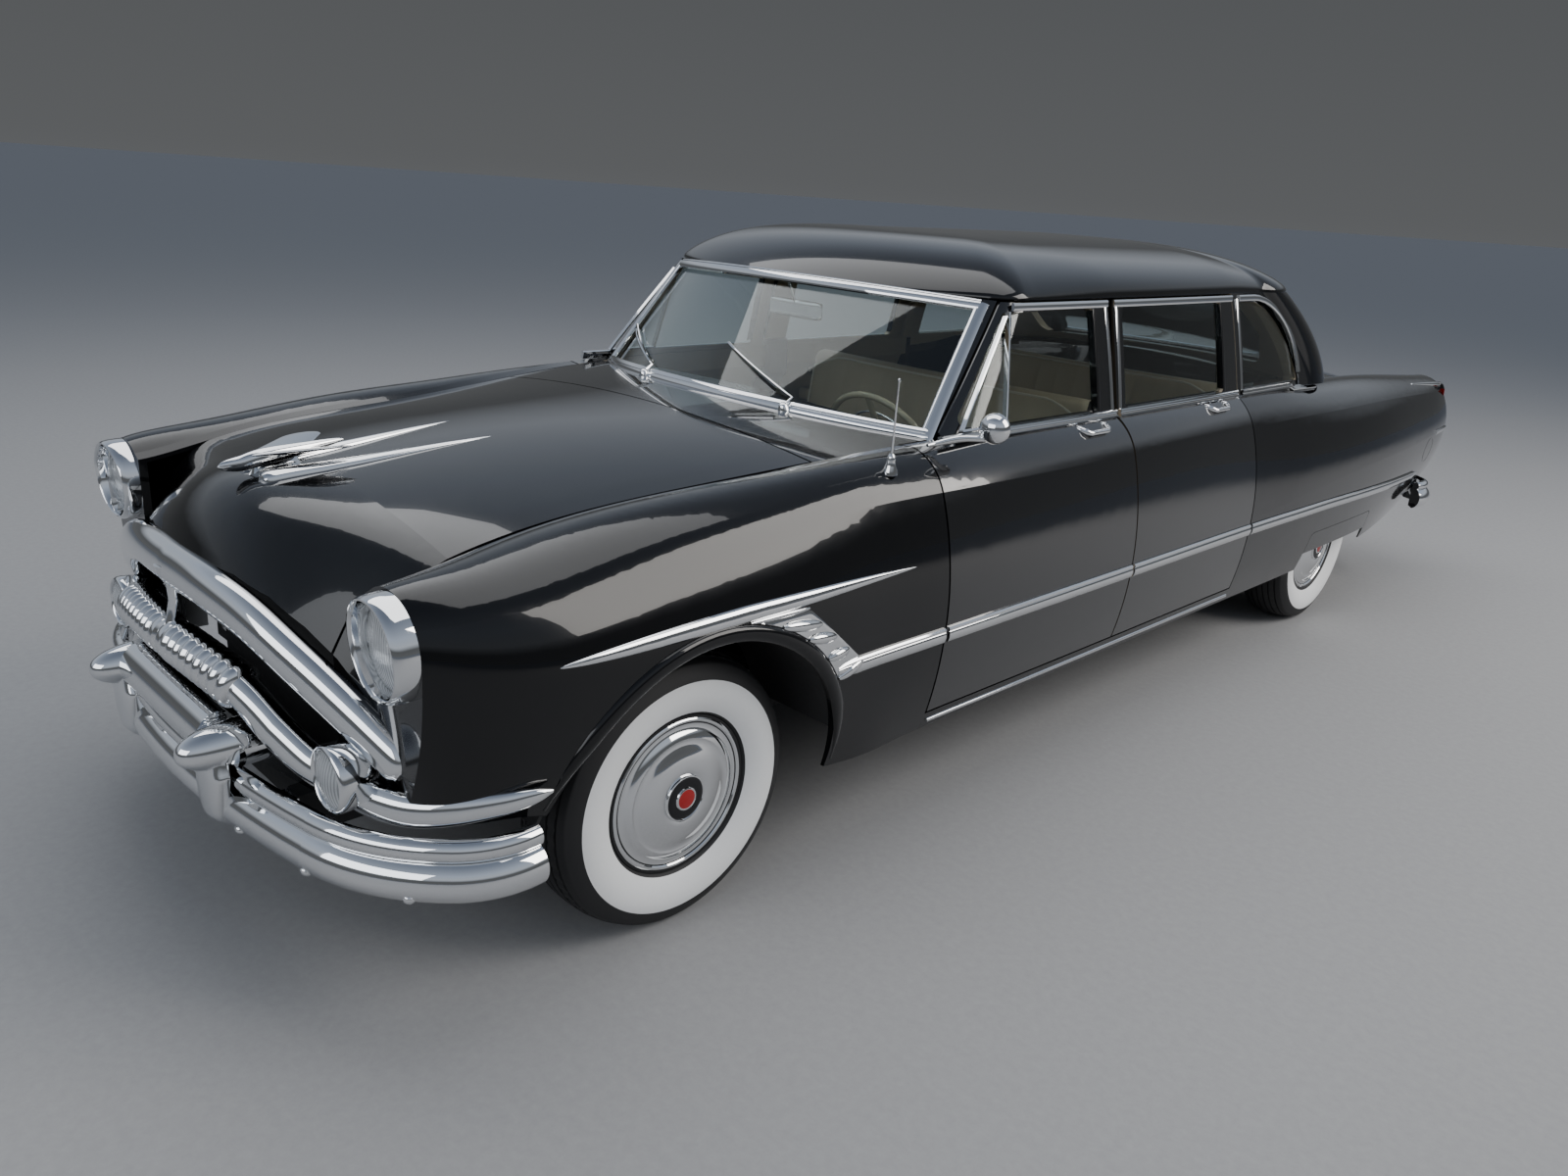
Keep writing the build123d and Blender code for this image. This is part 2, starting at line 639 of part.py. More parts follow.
# Floor pan, stepped over the rear axle, with a tunnel for the gearbox
x_sill = 800.0
floor_profile = [
    (y_firewall + 12, 590), (-1270, z_floor), (860, z_floor), (900, 500), (1200, 560), (1950, 560),
    (2150, 470), (2900, 470),
]
floor_plan = [
    (680, y_firewall), (680, y_fender_rear), (x_sill, y_fender_rear), (x_sill, 1235), (645, 1235),
    (645, 2075), (770, 2110), (740, 2900),
]


def tunnel_form(shell):
    """Tapered tunnel over the gearbox and the propeller shaft, taken in by its sheet."""
    with BuildPart() as made:
        for y, z, radius in [(y_firewall, z_tunnel, tunnel_radius - 1), (-500, 330, 88), (890, 345, 88)]:
            with BuildSketch(Plane.XZ.offset(-y)):
                with Locations((0, z)):
                    Circle(radius - shell)
        loft(ruled=True)
    return made.part


tunnel = tunnel_form(0)
tunnel_clear = tunnel_form(-2)
with BuildPart() as floor_pan:
    lower = [(y, z - floor_sheet) for y, z in reversed(floor_profile)]
    add(lengthwise(floor_profile + lower, -x_sill, x_sill))
    add(plan([(-x, y) for x, y in floor_plan] + floor_plan[::-1], 200, 700), mode=Mode.INTERSECT)
    add(tunnel)
    add(tunnel_form(floor_sheet), mode=Mode.SUBTRACT)
    add(block(-200, 200, y_firewall, 892, 0, z_floor - floor_sheet), mode=Mode.SUBTRACT)
    add(block(-300, 300, -1600, y_firewall + 12, 0, 700), mode=Mode.SUBTRACT)

# Sills under the doors, and centre pillars standing on them
with BuildPart() as sill_left:
    add(side_outer)
    add(block(x_sill, far, y_fender_rear, y_quarter_start, 200, z_sill_top - panel_gap), mode=Mode.INTERSECT)
with BuildPart() as sills:
    add(sill_left.part)
    mirror(about=Plane.YZ)
z_pillar_foot = z_sill_top - panel_gap
pillar_front_view = [
    (806, z_pillar_foot), (845, z_pillar_foot), (890, 640), (878, 800), (836, 975), (795, 1034), (777, 1038),
    (777, 1134), (790, 1134), (787, z_pillar_joint), (757, z_pillar_joint), (748, 1100), (748, 1020),
    (800, 950), (840, 800), (852, 640),
]
with BuildPart() as centre_pillars:
    add(frontal(pillar_front_view, -345, -240))
    mirror(about=Plane.YZ)

# Wheelhouses: arched liners seated on the inner faces of the panels
x_front_liner = 455.0
x_rear_liner = 645.0
z_liner_low = 445.0
z_rear_liner_low = 402.0


def liner(radius, y_axle, x_wall, z_low):
    """Arched wheelhouse liner on the left, open below and on the wheel side."""
    with BuildPart() as made:
        add(drum(radius, y_axle, z_hub + 5, x_wall, far))
        add(drum(radius - wheelhouse_sheet, y_axle, z_hub + 5, x_wall + wheelhouse_sheet, far), mode=Mode.SUBTRACT)
        add(block(0, far, y_axle - far, y_axle + far, 0, z_low), mode=Mode.SUBTRACT)
        add(side_hollow, mode=Mode.INTERSECT)
    return made.part


with BuildPart() as wheelhouses_front:
    add(liner(front_arch_radius + 14, y_front_axle, x_front_liner, z_liner_low))
    add(block(0, 600, y_front_axle - 65, y_front_axle + 65, 0, 505), mode=Mode.SUBTRACT)
    mirror(about=Plane.YZ)
with BuildPart() as wheelhouses_rear:
    add(liner(rear_arch_radius + 14, y_rear_axle, x_rear_liner, z_rear_liner_low))
    mirror(about=Plane.YZ)

# Ladder frame with kicked-up rails and cross members
x_rail, rail_width, rail_depth = 380.0, 60.0, 100.0
z_rail_front = 430.0
z_rail_rear = 550.0
rail_top = [
    (-2880, z_rail_front), (-1760, z_rail_front), (-1500, z_floor - floor_sheet), (872, z_floor - floor_sheet),
    (1200, z_rail_rear), (1950, z_rail_rear), (2150, 460), (2840, 460),
]
rail_low = [(y, z - rail_depth) for y, z in reversed(rail_top)]
spring_x0, spring_x1 = 475.0, 535.0
y_spring_front, y_spring_rear = 1020.0, 2290.0
with BuildPart() as chassis_frame:
    add(lengthwise(rail_top + rail_low, x_rail, x_rail + rail_width))
    add(block(x_rail + rail_width, spring_x1, y_spring_front - 30, y_spring_front + 30, 325, 400))
    add(block(x_rail + rail_width, spring_x1, y_spring_rear - 30, y_spring_rear + 30, 405, 455))
    mirror(about=Plane.YZ)
    add(block(-x_rail, x_rail, -2840, -2760, 340, 420))
    add(block(-x_rail - rail_width, x_rail + rail_width, y_front_axle - 60, y_front_axle + 60, 230, 330))
    add(block(-x_rail, x_rail, -1080, -1000, 244, 284))
    add(block(-x_rail, x_rail, 560, 640, 244, 300))
    add(block(-x_rail, x_rail, 2100, 2150, 372, 440))
    add(block(-x_rail, x_rail, 2780, 2840, 372, 448))

# Engine as one plain block on the front cross member, and the gearbox and propeller shaft
x_engine = 235.0
with BuildPart() as engine_block:
    add(block(-x_engine, x_engine, -2600, y_firewall - 90, 330, 930))
with BuildPart() as driveline:
    with BuildSketch(Plane.XZ.offset(-y_firewall + 90)) as bell:
        with Locations((0, 420)):
            Circle(150)
    with BuildSketch(Plane.XZ.offset(900)):
        with Locations((0, 355)):
            Circle(60)
    loft()
    with BuildSketch(Plane.XZ.offset(900)):
        with Locations((0, 355)):
            Circle(34)
    with BuildSketch(Plane.XZ.offset(-(y_rear_axle - 150))):
        with Locations((0, z_hub)):
            Circle(34)
    loft()
with BuildPart() as radiator:
    add(block(-330, 330, -2735, -2665, 421, 880))
    add(block(-600, 600, -2665, -2655, 431, 900))

# Exhaust below the floor on the right
x_exhaust, z_exhaust, pipe_radius = -560.0, 215.0, 26.0
with BuildPart() as exhaust:
    with BuildLine() as pipe_path:
        FilletPolyline(
            (x_exhaust, -1200, z_exhaust), (x_exhaust, 1050, z_exhaust), (x_exhaust, 1250, 232),
            (x_exhaust, 2850, 232), radius=200)
    with BuildSketch(Plane(pipe_path.line @ 0, z_dir=pipe_path.line % 0)):
        Circle(pipe_radius)
    sweep()
    with BuildSketch(Plane.XZ.offset(-100)):
        with Locations((x_exhaust, z_exhaust)):
            Ellipse(105, 62)
    extrude(amount=-700)
    add(block(x_exhaust - 10, x_exhaust + 10, -900, -880, z_exhaust, z_floor - floor_sheet))
    add(block(x_exhaust - 10, x_exhaust + 10, 820, 840, z_exhaust, z_floor - floor_sheet))
with BuildPart() as fuel_tank:
    add(block(-360, 360, 2160, 2760, 250, 460))
    fillet(fuel_tank.edges().filter_by(Axis.X), 40)

# Front suspension arms and kingpins, and the steered knuckles
x_kingpin, kingpin_radius = 672.0, 16.0
x_front_wheel = front_track / 2
x_rear_wheel = rear_track / 2
z_arm_low, z_arm_high, arm_depth = 235.0, 452.0, 28.0
sleeve_low, sleeve_high = z_arm_low + arm_depth, z_arm_high
lower_arm = [(440, y_front_axle - 58), (440, y_front_axle + 58), (x_kingpin, y_front_axle + 22),
             (x_kingpin, y_front_axle - 22)]
upper_arm = [(425, y_front_axle - 45), (425, y_front_axle + 45), (x_kingpin, y_front_axle + 20),
             (x_kingpin, y_front_axle - 20)]
with BuildPart() as front_suspension:
    add(plan(lower_arm, z_arm_low, z_arm_low + arm_depth))
    add(plan(upper_arm, z_arm_high, z_arm_high + arm_depth))
    add(block(x_rail + 5, 440, y_front_axle - 45, y_front_axle + 45, z_rail_front, z_arm_high + arm_depth))
    with BuildSketch(Plane.XY.offset(z_arm_low)):
        with Locations((x_kingpin, y_front_axle)):
            Circle(23)
    extrude(amount=arm_depth)
    with BuildSketch(Plane.XY.offset(z_arm_high)):
        with Locations((x_kingpin, y_front_axle)):
            Circle(23)
    extrude(amount=arm_depth)
    with BuildSketch(Plane.XY.offset(z_arm_low + arm_depth)):
        with Locations((x_kingpin, y_front_axle)):
            Circle(kingpin_radius)
    extrude(amount=z_arm_high - z_arm_low - arm_depth)
    mirror(about=Plane.YZ)
x_plate = 704.0
x_spindle_end = x_front_wheel + 70
with BuildPart() as knuckle_left:
    with BuildSketch(Plane.XY.offset(sleeve_low + seat_clearance)):
        with Locations((x_kingpin, y_front_axle)):
            Circle(kingpin_radius + 13)
    extrude(amount=sleeve_high - sleeve_low - 2 * seat_clearance)
    add(drum(drum_radius, y_front_axle, z_hub, x_plate, x_plate + 5))
    add(drum(spindle_radius, y_front_axle, z_hub, x_kingpin, x_spindle_end))
    with BuildSketch(Plane.XY.offset(sleeve_low)):
        with Locations((x_kingpin, y_front_axle)):
            Circle(kingpin_radius + pin_clearance)
    extrude(amount=sleeve_high - sleeve_low, mode=Mode.SUBTRACT)
with BuildPart() as rear_axle:
    add(drum(42, y_rear_axle, z_hub, -x_rear_wheel + 60, x_rear_wheel - 60))
    add(drum(drum_radius, y_rear_axle, z_hub, x_rear_wheel - 63, x_rear_wheel - 58))
    add(drum(spindle_radius, y_rear_axle, z_hub, x_rear_wheel - 60, x_rear_wheel + 70))
    leaf = [(y_spring_front, 303), (y_rear_axle - 200, 285), (y_rear_axle, 282), (y_rear_axle + 200, 292),
            (y_spring_rear, 383)]
    add(lengthwise(leaf + [(y, z - 26) for y, z in reversed(leaf)], spring_x0, spring_x1))
    add(drum(22, y_spring_front, 303, spring_x0, spring_x1))
    add(drum(22, y_spring_rear, 383, spring_x0, spring_x1))
    add(block(spring_x0, spring_x1, y_rear_axle - 45, y_rear_axle + 45, 275, z_hub))
    mirror(about=Plane.YZ)
    with BuildSketch(Plane.XY.offset(z_hub)):
        with Locations((0, y_rear_axle)):
            Circle(10)
    with Locations((0, y_rear_axle, z_hub)):
        Sphere(150)


def wheel_at(x_centre, y_axle):
    """Steel wheel with drum and cap, on the left; local profile is (along the axle, radius)."""
    rim = [(-75, 205), (-75, rim_radius), (-57, 186), (-34, 168), (33, 168), (57, 186), (75, rim_radius),
           (75, 205), (81, 205), (81, 184), (60, 179), (37, 160), (-37, 160), (-60, 179), (-81, 184), (-81, 205)]
    disc = [(22, 163), (32, 163), (42, hub_radius - 2), (32, hub_radius - 2)]
    bore = spindle_radius + pin_clearance
    hub = [(-46, bore), (76, bore), (76, hub_radius), (-46, hub_radius)]
    drum_web = [(14, 55), (24, 55), (24, drum_radius + 2), (14, drum_radius + 2)]
    drum_ring = [(-46, drum_radius - 10), (24, drum_radius - 10), (24, drum_radius + 2), (-46, drum_radius + 2)]
    cap = [(80, 200), (84, cap_radius), (92, 190), (102, 130), (104, 78), (112, 66), (114, 0), (110, 0),
           (108, 63), (100, 74), (98, 128), (88, 186), (80, 190)]
    with BuildPart() as made:
        with BuildSketch(Plane.XY.offset(z_hub)):
            for points in (rim, disc, hub, drum_web, drum_ring, cap):
                with BuildLine():
                    Polyline(*[(x_centre + u, y_axle + r) for u, r in points], close=True)
                make_face()
        revolve(axis=Axis((0, y_axle, z_hub), (1, 0, 0)))
    return made.part


def tyre_at(x_centre, y_axle):
    """Tyre with a rounded tread, bulged walls and beads outside the rim flanges."""
    half = tyre_width / 2
    with BuildPart() as made:
        with BuildSketch(Plane.XY.offset(z_hub)):
            with BuildLine():
                Polyline(*[(x_centre + u, y_axle + r) for u, r in [
                    (-84, 209), (-74.5, 205.5), (-74.5, rim_radius + 1), (74.5, rim_radius + 1), (74.5, 205.5),
                    (84, 209)]])
                ThreePointArc(
                    (x_centre + 84, y_axle + 209), (x_centre + half, y_axle + 272), (x_centre + 88, y_axle + 338))
                ThreePointArc(
                    (x_centre + 88, y_axle + 338), (x_centre, y_axle + tyre_radius), (x_centre - 88, y_axle + 338))
                ThreePointArc(
                    (x_centre - 88, y_axle + 338), (x_centre - half, y_axle + 272), (x_centre - 84, y_axle + 209))
            make_face()
        revolve(axis=Axis((0, y_axle, z_hub), (1, 0, 0)))
    return made.part


with BuildPart() as wheel_front_left:
    add(wheel_at(x_front_wheel, y_front_axle))
with BuildPart() as wheel_rear_left:
    add(wheel_at(x_rear_wheel, y_rear_axle))
with BuildPart() as tyre_front_left:
    add(tyre_at(x_front_wheel, y_front_axle))
with BuildPart() as tyre_rear_left:
    add(tyre_at(x_rear_wheel, y_rear_axle))


# Front bumper: two-tier blade on an arc, with a raised centre and two bullet guards
z_blade_top = 480.0
front_blade = [(335, 6), (385, -30), (432, -2), (458, -12), (z_blade_top, 12), (470, 30), (345, 30)]
rear_blade = [(400, 6), (450, -30), (500, -2), (518, -10), (535, 12), (525, 30), (410, 30)]
x_guard = 290.0
guard_radius, guard_length, nose_flat = 46.0, 150.0, 5.0
z_guard = z_blade_top + seat_clearance + guard_radius + 3
x_raised = x_guard - guard_radius - 3


def blade_sketch(plane, points):
    """Two-tier blade section; its points are (height, depth behind the path)."""
    with BuildSketch(plane) as made:
        with BuildLine():
            ThreePointArc(points[0], points[1], points[2])
            ThreePointArc(points[2], points[3], points[4])
            Polyline(points[4], points[5], points[6], points[0])
        make_face()
    return made.sketch


def bumper_bar(middle_points, y_wing, y_tip, x_wing, x_tip, points):
    """Blade swept round a bowed plan path with wrapped ends."""
    with BuildPart() as made:
        with BuildLine() as path:
            middle = ThreePointArc(*middle_points)
            wing = TangentArc(middle @ 0, (x_wing, y_wing), tangent=-(middle % 0))
            tip = TangentArc((x_wing, y_wing), (x_tip, y_tip), tangent=wing % 1)
            mirror(wing, about=Plane.YZ)
            mirror(tip, about=Plane.YZ)
        end = tip @ 1
        plane = Plane((end.X, end.Y, 0), x_dir=(0, 0, 1), z_dir=-(tip % 1))
        sweep(sections=blade_sketch(plane, points), path=path.wire())
    return made.part


def bullet(x, y_tip, y_base, z, radius):
    """Turned bullet lying along the car, its nose a half ellipse in short cones."""
    nose = 0.8 * (y_base - y_tip)
    ogive = [(x + radius * math.sin(math.radians(a)), y_tip + nose * (1 - math.cos(math.radians(a))))
             for a in (90, 72, 55, 40, 26, 12)]
    with BuildPart() as made:
        with BuildSketch(Plane.XY.offset(z)):
            with BuildLine():
                Polyline((x, y_tip), (x, y_base), (x + radius, y_base), *ogive,
                         (x + nose_flat, y_tip), (x, y_tip))
            make_face()
        revolve(axis=Axis((x, 0, z), (0, 1, 0)))
    return made.part


with BuildPart() as front_bumper:
    add(bumper_bar([(605, -2930), (0, -2990), (-605, -2930)], -2760, -2585, 885, 935, front_blade))
    add(block(-x_rail - rail_width, -x_rail, -2965, -2880, 345, 425))
    add(block(x_rail, x_rail + rail_width, -2965, -2880, 345, 425))
with BuildPart() as bumper_guards:
    add(bullet(x_guard, y_nose, y_nose + guard_length, z_guard, guard_radius))
    add(bullet(-x_guard, y_nose, y_nose + guard_length, z_guard, guard_radius))
    with BuildSketch(Plane.YZ.offset(-x_raised)):
        with BuildLine():
            z_raised = z_blade_top + seat_clearance
            ThreePointArc((-2975, z_raised), (-3008, 520), (-2985, 570))
            Polyline((-2985, 570), (-2945, 570), (-2945, z_raised), (-2975, z_raised))
        make_face()
    extrude(amount=2 * x_raised)
with BuildPart() as rear_bumper:
    add(bumper_bar([(-640, 2975), (0, 3010), (640, 2975)], 2885, 2690, -885, -940, rear_blade))
    add(block(-x_rail - rail_width, -x_rail, 2840, 2990, 415, 455))
    add(block(x_rail, x_rail + rail_width, 2840, 2990, 415, 455))

# Lamps: frenched headlamp bezels, parking lamp pods, and their lenses
bezel_radius, bezel_depth, lens_radius = 112.0, 52.0, 89.0
with BuildPart() as bezel_left:
    with BuildSketch(Plane.XY.offset(lamp_z)):
        with BuildLine():
            Polyline((lamp_x + lens_radius + 2, y_lamp_face - seat_clearance),
                     (lamp_x + lens_radius + 2, y_lamp_face - 12), (lamp_x + lens_radius + 7, y_lamp_face - 34))
            ThreePointArc((lamp_x + lens_radius + 7, y_lamp_face - 34), (lamp_x + 106, y_lamp_face - 36),
                          (lamp_x + bezel_radius, y_lamp_face - seat_clearance))
            Line((lamp_x + bezel_radius, y_lamp_face - seat_clearance),
                 (lamp_x + lens_radius + 2, y_lamp_face - seat_clearance))
        make_face()
    revolve(axis=Axis((lamp_x, 0, lamp_z), (0, 1, 0)))
with BuildPart() as lens_left:
    with BuildSketch(Plane.XY.offset(lamp_z)):
        with BuildLine():
            Polyline((lamp_x, y_lamp_face - 26), (lamp_x, y_lamp_face + 40), (lamp_x + 60, y_lamp_face + 34),
                     (lamp_x + lens_radius + 1.5, y_lamp_face + 2), (lamp_x + lens_radius + 1.5, y_lamp_face - 8))
            TangentArc((lamp_x, y_lamp_face - 26), (lamp_x + lens_radius + 1.5, y_lamp_face - 8), tangent=(1, 0))
        make_face()
    revolve(axis=Axis((lamp_x, 0, lamp_z), (0, 1, 0)))
with BuildPart() as headlamp_bezels:
    add(bezel_left.part)
    mirror(about=Plane.YZ)
with BuildPart() as headlamp_lenses:
    add(lens_left.part)
    mirror(about=Plane.YZ)
with BuildPart() as parking_lamp_left:
    with BuildSketch(Plane.XY.offset(pod_z)):
        with BuildLine():
            Polyline((pod_x, -2892), (pod_x, -2812), (pod_x + 30, -2818), (pod_x + 56, -2845),
                     (pod_x + pod_radius, -2880), (pod_x + pod_radius - 8, -2886))
            TangentArc((pod_x, -2892), (pod_x + pod_radius - 8, -2886), tangent=(1, 0))
        make_face()
    revolve(axis=Axis((pod_x, 0, pod_z), (0, 1, 0)))
with BuildPart() as parking_lamps:
    add(parking_lamp_left.part)
    mirror(about=Plane.YZ)
with BuildPart() as grille_bar:
    add(ribbed_bar.part)
    add(parking_lamps.part, mode=Mode.SUBTRACT)

# Steering wheel and column, on the left
x_driver = 385.0
column_tilt = 27.0
rim_centre = (x_driver, -905.0, 985.0)
steering_radius = 215.0
column_axis = (0, math.cos(math.radians(column_tilt)), math.sin(math.radians(column_tilt)))


def column_plane(distance):
    """Plane square to the column at a distance ahead of the steering wheel's centre."""
    x, y, z = rim_centre
    return Plane((x, y - distance * column_axis[1], z - distance * column_axis[2]),
                 x_dir=(1, 0, 0), z_dir=column_axis)


with BuildPart() as steering_wheel:
    with BuildSketch(column_plane(45)):
        Circle(34)
    extrude(amount=40)
    with BuildSketch(column_plane(30)):
        Rectangle(2 * steering_radius, 26)
    extrude(amount=10)
    with BuildSketch(Plane(rim_centre, x_dir=column_axis, z_dir=(1, 0, 0)).offset(0)):
        with Locations((-22, steering_radius)):
            Circle(11)
    revolve(axis=Axis(rim_centre, column_axis))
with BuildPart() as steering_column:
    with BuildSketch(column_plane(560)):
        Circle(24)
    extrude(amount=560 - 45 - seat_clearance)

# Dashboard and seats
dash_half_width = 678.0
with BuildPart() as dashboard:
    with BuildSketch(Plane.YZ.offset(-dash_half_width)):
        with BuildLine():
            Polyline((-1300, 850), (-1300, 1095), (-1215, 1104))
            ThreePointArc((-1215, 1104), (-1150, 1060), (-1130, 960))
            Polyline((-1130, 960), (-1160, 850), (-1300, 850))
        make_face()
    extrude(amount=2 * dash_half_width)
    add(hood_under.moved(Location((0, 0, -1.5))), mode=Mode.INTERSECT)
    with BuildSketch(column_plane(600)):
        Circle(24 + seat_clearance)
    extrude(amount=600, mode=Mode.SUBTRACT)
cushion_front = [(-760, z_floor), (-760, 640), (-300, 610), (-240, 560), (-240, z_floor)]
back_front = [(-310, 615), (-180, 1120), (-60, 1120), (-130, 380), (-235, 380), (-235, 560)]
cushion_rear = [(300, z_floor), (300, 640), (760, 610), (850, 600), (850, z_floor)]
back_rear = [(770, 615), (900, 1100), (1010, 1100), (880, 610)]
with BuildPart() as front_seat:
    add(lengthwise(cushion_front, -680, 680, 30))
    add(lengthwise(back_front, -680, 680, 24))
    add(tunnel_clear, mode=Mode.SUBTRACT)
with BuildPart() as rear_seat:
    add(lengthwise(cushion_rear, -680, 680, 24))
    add(lengthwise(back_rear, -640, 640, 20))
    add(tunnel_clear, mode=Mode.SUBTRACT)

# Generic dart ornament on the hood
with BuildPart() as hood_ornament:
    with BuildSketch(Plane.YZ.offset(-14)):
        with BuildLine():
            Polyline((-2800, 1090), (-2560, 1150), (-2520, 1140), (-2620, 1064), (-2770, 1056), close=True)
        make_face()
    extrude(amount=28)

# Tail lamps in the ends of the rear fenders
with BuildPart() as tail_lamp_left:
    with BuildSketch(Plane.YZ.offset(800)):
        with BuildLine():
            Polyline((3000, 790), (3000, 1000), (3010, 1000), (3045, 800), (3045, 790), close=True)
        make_face()
    extrude(amount=80)
    fillet(tail_lamp_left.edges().filter_by(Axis.Z), 8)
with BuildPart() as tail_lamps:
    add(tail_lamp_left.part)
    mirror(about=Plane.YZ)

# Apron below the grille
with BuildPart() as front_apron:
    with BuildSketch(Plane.XY.offset(z_rail_front + 2)):
        with BuildLine():
            ThreePointArc((-620, -2800), (0, -2890), (620, -2800))
            ThreePointArc((-620, -2790), (0, -2880), (620, -2790))
            Line((-620, -2800), (-620, -2790))
            Line((620, -2800), (620, -2790))
        make_face()
    extrude(amount=70)

# Every piece under its own name, the right-hand ones as mirror images
nodes = {
    "chassis_frame": chassis_frame.part, "floor_pan": floor_pan.part, "cowl": cowl.part,
    "front_fender_left": front_fender_left.part, "front_fender_right": mirrored(front_fender_left.part),
    "wheelhouses_front": wheelhouses_front.part, "wheelhouses_rear": wheelhouses_rear.part,
    "sills": sills.part, "centre_pillars": centre_pillars.part,
    "rear_quarter_left": rear_quarter_left.part, "rear_quarter_right": mirrored(rear_quarter_left.part),
    "skirts": skirts.part, "rear_deck": rear_deck.part, "upper_frame": upper_frame.part,
    "fixed_glass": fixed_glass.part, "roof_panel": roof_panel.part,
    "grille_surround": grille_surround.part, "grille_bar": grille_bar.part,
    "front_bumper": front_bumper.part, "bumper_guards": bumper_guards.part, "rear_bumper": rear_bumper.part,
    "headlamp_bezels": headlamp_bezels.part, "headlamp_lenses": headlamp_lenses.part,
    "parking_lamps": parking_lamps.part, "tail_lamps": tail_lamps.part, "front_apron": front_apron.part,
    "dashboard": dashboard.part, "front_seat": front_seat.part, "rear_seat": rear_seat.part,
    "steering_column": steering_column.part, "steering_wheel": steering_wheel.part,
    "engine_block": engine_block.part, "driveline": driveline.part, "radiator": radiator.part,
    "exhaust": exhaust.part, "fuel_tank": fuel_tank.part, "front_suspension": front_suspension.part,
    "rear_axle": rear_axle.part, "hood": hood.part, "hood_ornament": hood_ornament.part,
    "boot_lid": boot_lid.part,
    "door_front_left": door_front_left.part, "door_front_right": mirrored(door_front_left.part),
    "door_rear_left": door_rear_left.part, "door_rear_right": mirrored(door_rear_left.part),
    "door_glass_front_left": door_glass_front_left.part,
    "door_glass_front_right": mirrored(door_glass_front_left.part),
    "door_glass_rear_left": door_glass_rear_left.part,
    "door_glass_rear_right": mirrored(door_glass_rear_left.part),
    "knuckle_left": knuckle_left.part, "knuckle_right": mirrored(knuckle_left.part),
    "wheel_front_left": wheel_front_left.part, "wheel_front_right": mirrored(wheel_front_left.part),
    "wheel_rear_left": wheel_rear_left.part, "wheel_rear_right": mirrored(wheel_rear_left.part),
    "tyre_front_left": tyre_front_left.part, "tyre_front_right": mirrored(tyre_front_left.part),
    "tyre_rear_left": tyre_rear_left.part, "tyre_rear_right": mirrored(tyre_rear_left.part),
}
for label, piece in nodes.items():
    piece.label = label
    export_step(piece, f"parts/{label}.step")
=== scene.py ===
"""Looks of the long black 1950s sedan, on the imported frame. Lengths in the code are in millimetres."""
import bpy
import bmesh
import math
from mathutils import Matrix, Vector
from mathutils.bvhtree import BVHTree


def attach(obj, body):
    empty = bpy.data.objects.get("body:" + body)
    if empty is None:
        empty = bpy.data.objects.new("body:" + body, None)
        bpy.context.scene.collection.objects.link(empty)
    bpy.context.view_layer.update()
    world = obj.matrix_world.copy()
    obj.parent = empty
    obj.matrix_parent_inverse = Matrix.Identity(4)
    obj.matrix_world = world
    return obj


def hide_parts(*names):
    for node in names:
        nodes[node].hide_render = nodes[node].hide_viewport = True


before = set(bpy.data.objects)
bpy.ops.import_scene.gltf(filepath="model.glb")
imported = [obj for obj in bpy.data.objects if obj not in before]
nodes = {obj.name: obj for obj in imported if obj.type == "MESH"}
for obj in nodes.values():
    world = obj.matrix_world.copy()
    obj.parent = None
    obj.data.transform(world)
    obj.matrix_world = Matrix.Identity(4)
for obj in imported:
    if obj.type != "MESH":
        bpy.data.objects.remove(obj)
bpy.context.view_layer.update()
MM = 0.001
Y_FRONT_AXLE, Y_REAR_AXLE, Z_HUB = -2130.0, 1655.0, 355.0
X_FRONT_WHEEL, X_REAR_WHEEL = 762.0, 774.5


# Materials
def new_material(name):
    made = bpy.data.materials.new(name)
    made.use_nodes = True
    tree = made.node_tree
    return made, tree, tree.nodes["Principled BSDF"]


def set_input(shader, name, value):
    shader.inputs[name].default_value = value


def object_point(tree):
    return tree.nodes.new("ShaderNodeTexCoord").outputs["Object"]


def noise(tree, scale, detail=3.0, rough=0.5):
    made = tree.nodes.new("ShaderNodeTexNoise")
    made.inputs["Scale"].default_value = scale
    made.inputs["Detail"].default_value = detail
    made.inputs["Roughness"].default_value = rough
    tree.links.new(object_point(tree), made.inputs["Vector"])
    return made.outputs["Fac"]


def spread(tree, value, low, high, out_low, out_high):
    made = tree.nodes.new("ShaderNodeMapRange")
    for name, number in (("From Min", low), ("From Max", high), ("To Min", out_low), ("To Max", out_high)):
        made.inputs[name].default_value = number
    tree.links.new(value, made.inputs["Value"])
    return made.outputs["Result"]


def math_node(tree, kind, a, b=None):
    made = tree.nodes.new("ShaderNodeMath")
    made.operation = kind
    for i, v in enumerate((a, b)):
        if v is None:
            continue
        if isinstance(v, (int, float)):
            made.inputs[i].default_value = v
        else:
            tree.links.new(v, made.inputs[i])
    return made.outputs[0]


def mix_color(tree, factor, a, b):
    made = tree.nodes.new("ShaderNodeMix")
    made.data_type = "RGBA"
    made.inputs["A"].default_value = (*a, 1)
    made.inputs["B"].default_value = (*b, 1)
    tree.links.new(factor, made.inputs["Factor"])
    return made.outputs["Result"]


def bump(tree, shader, height, strength, distance):
    made = tree.nodes.new("ShaderNodeBump")
    made.inputs["Strength"].default_value = strength
    made.inputs["Distance"].default_value = distance
    tree.links.new(height, made.inputs["Height"])
    tree.links.new(made.outputs["Normal"], shader.inputs["Normal"])


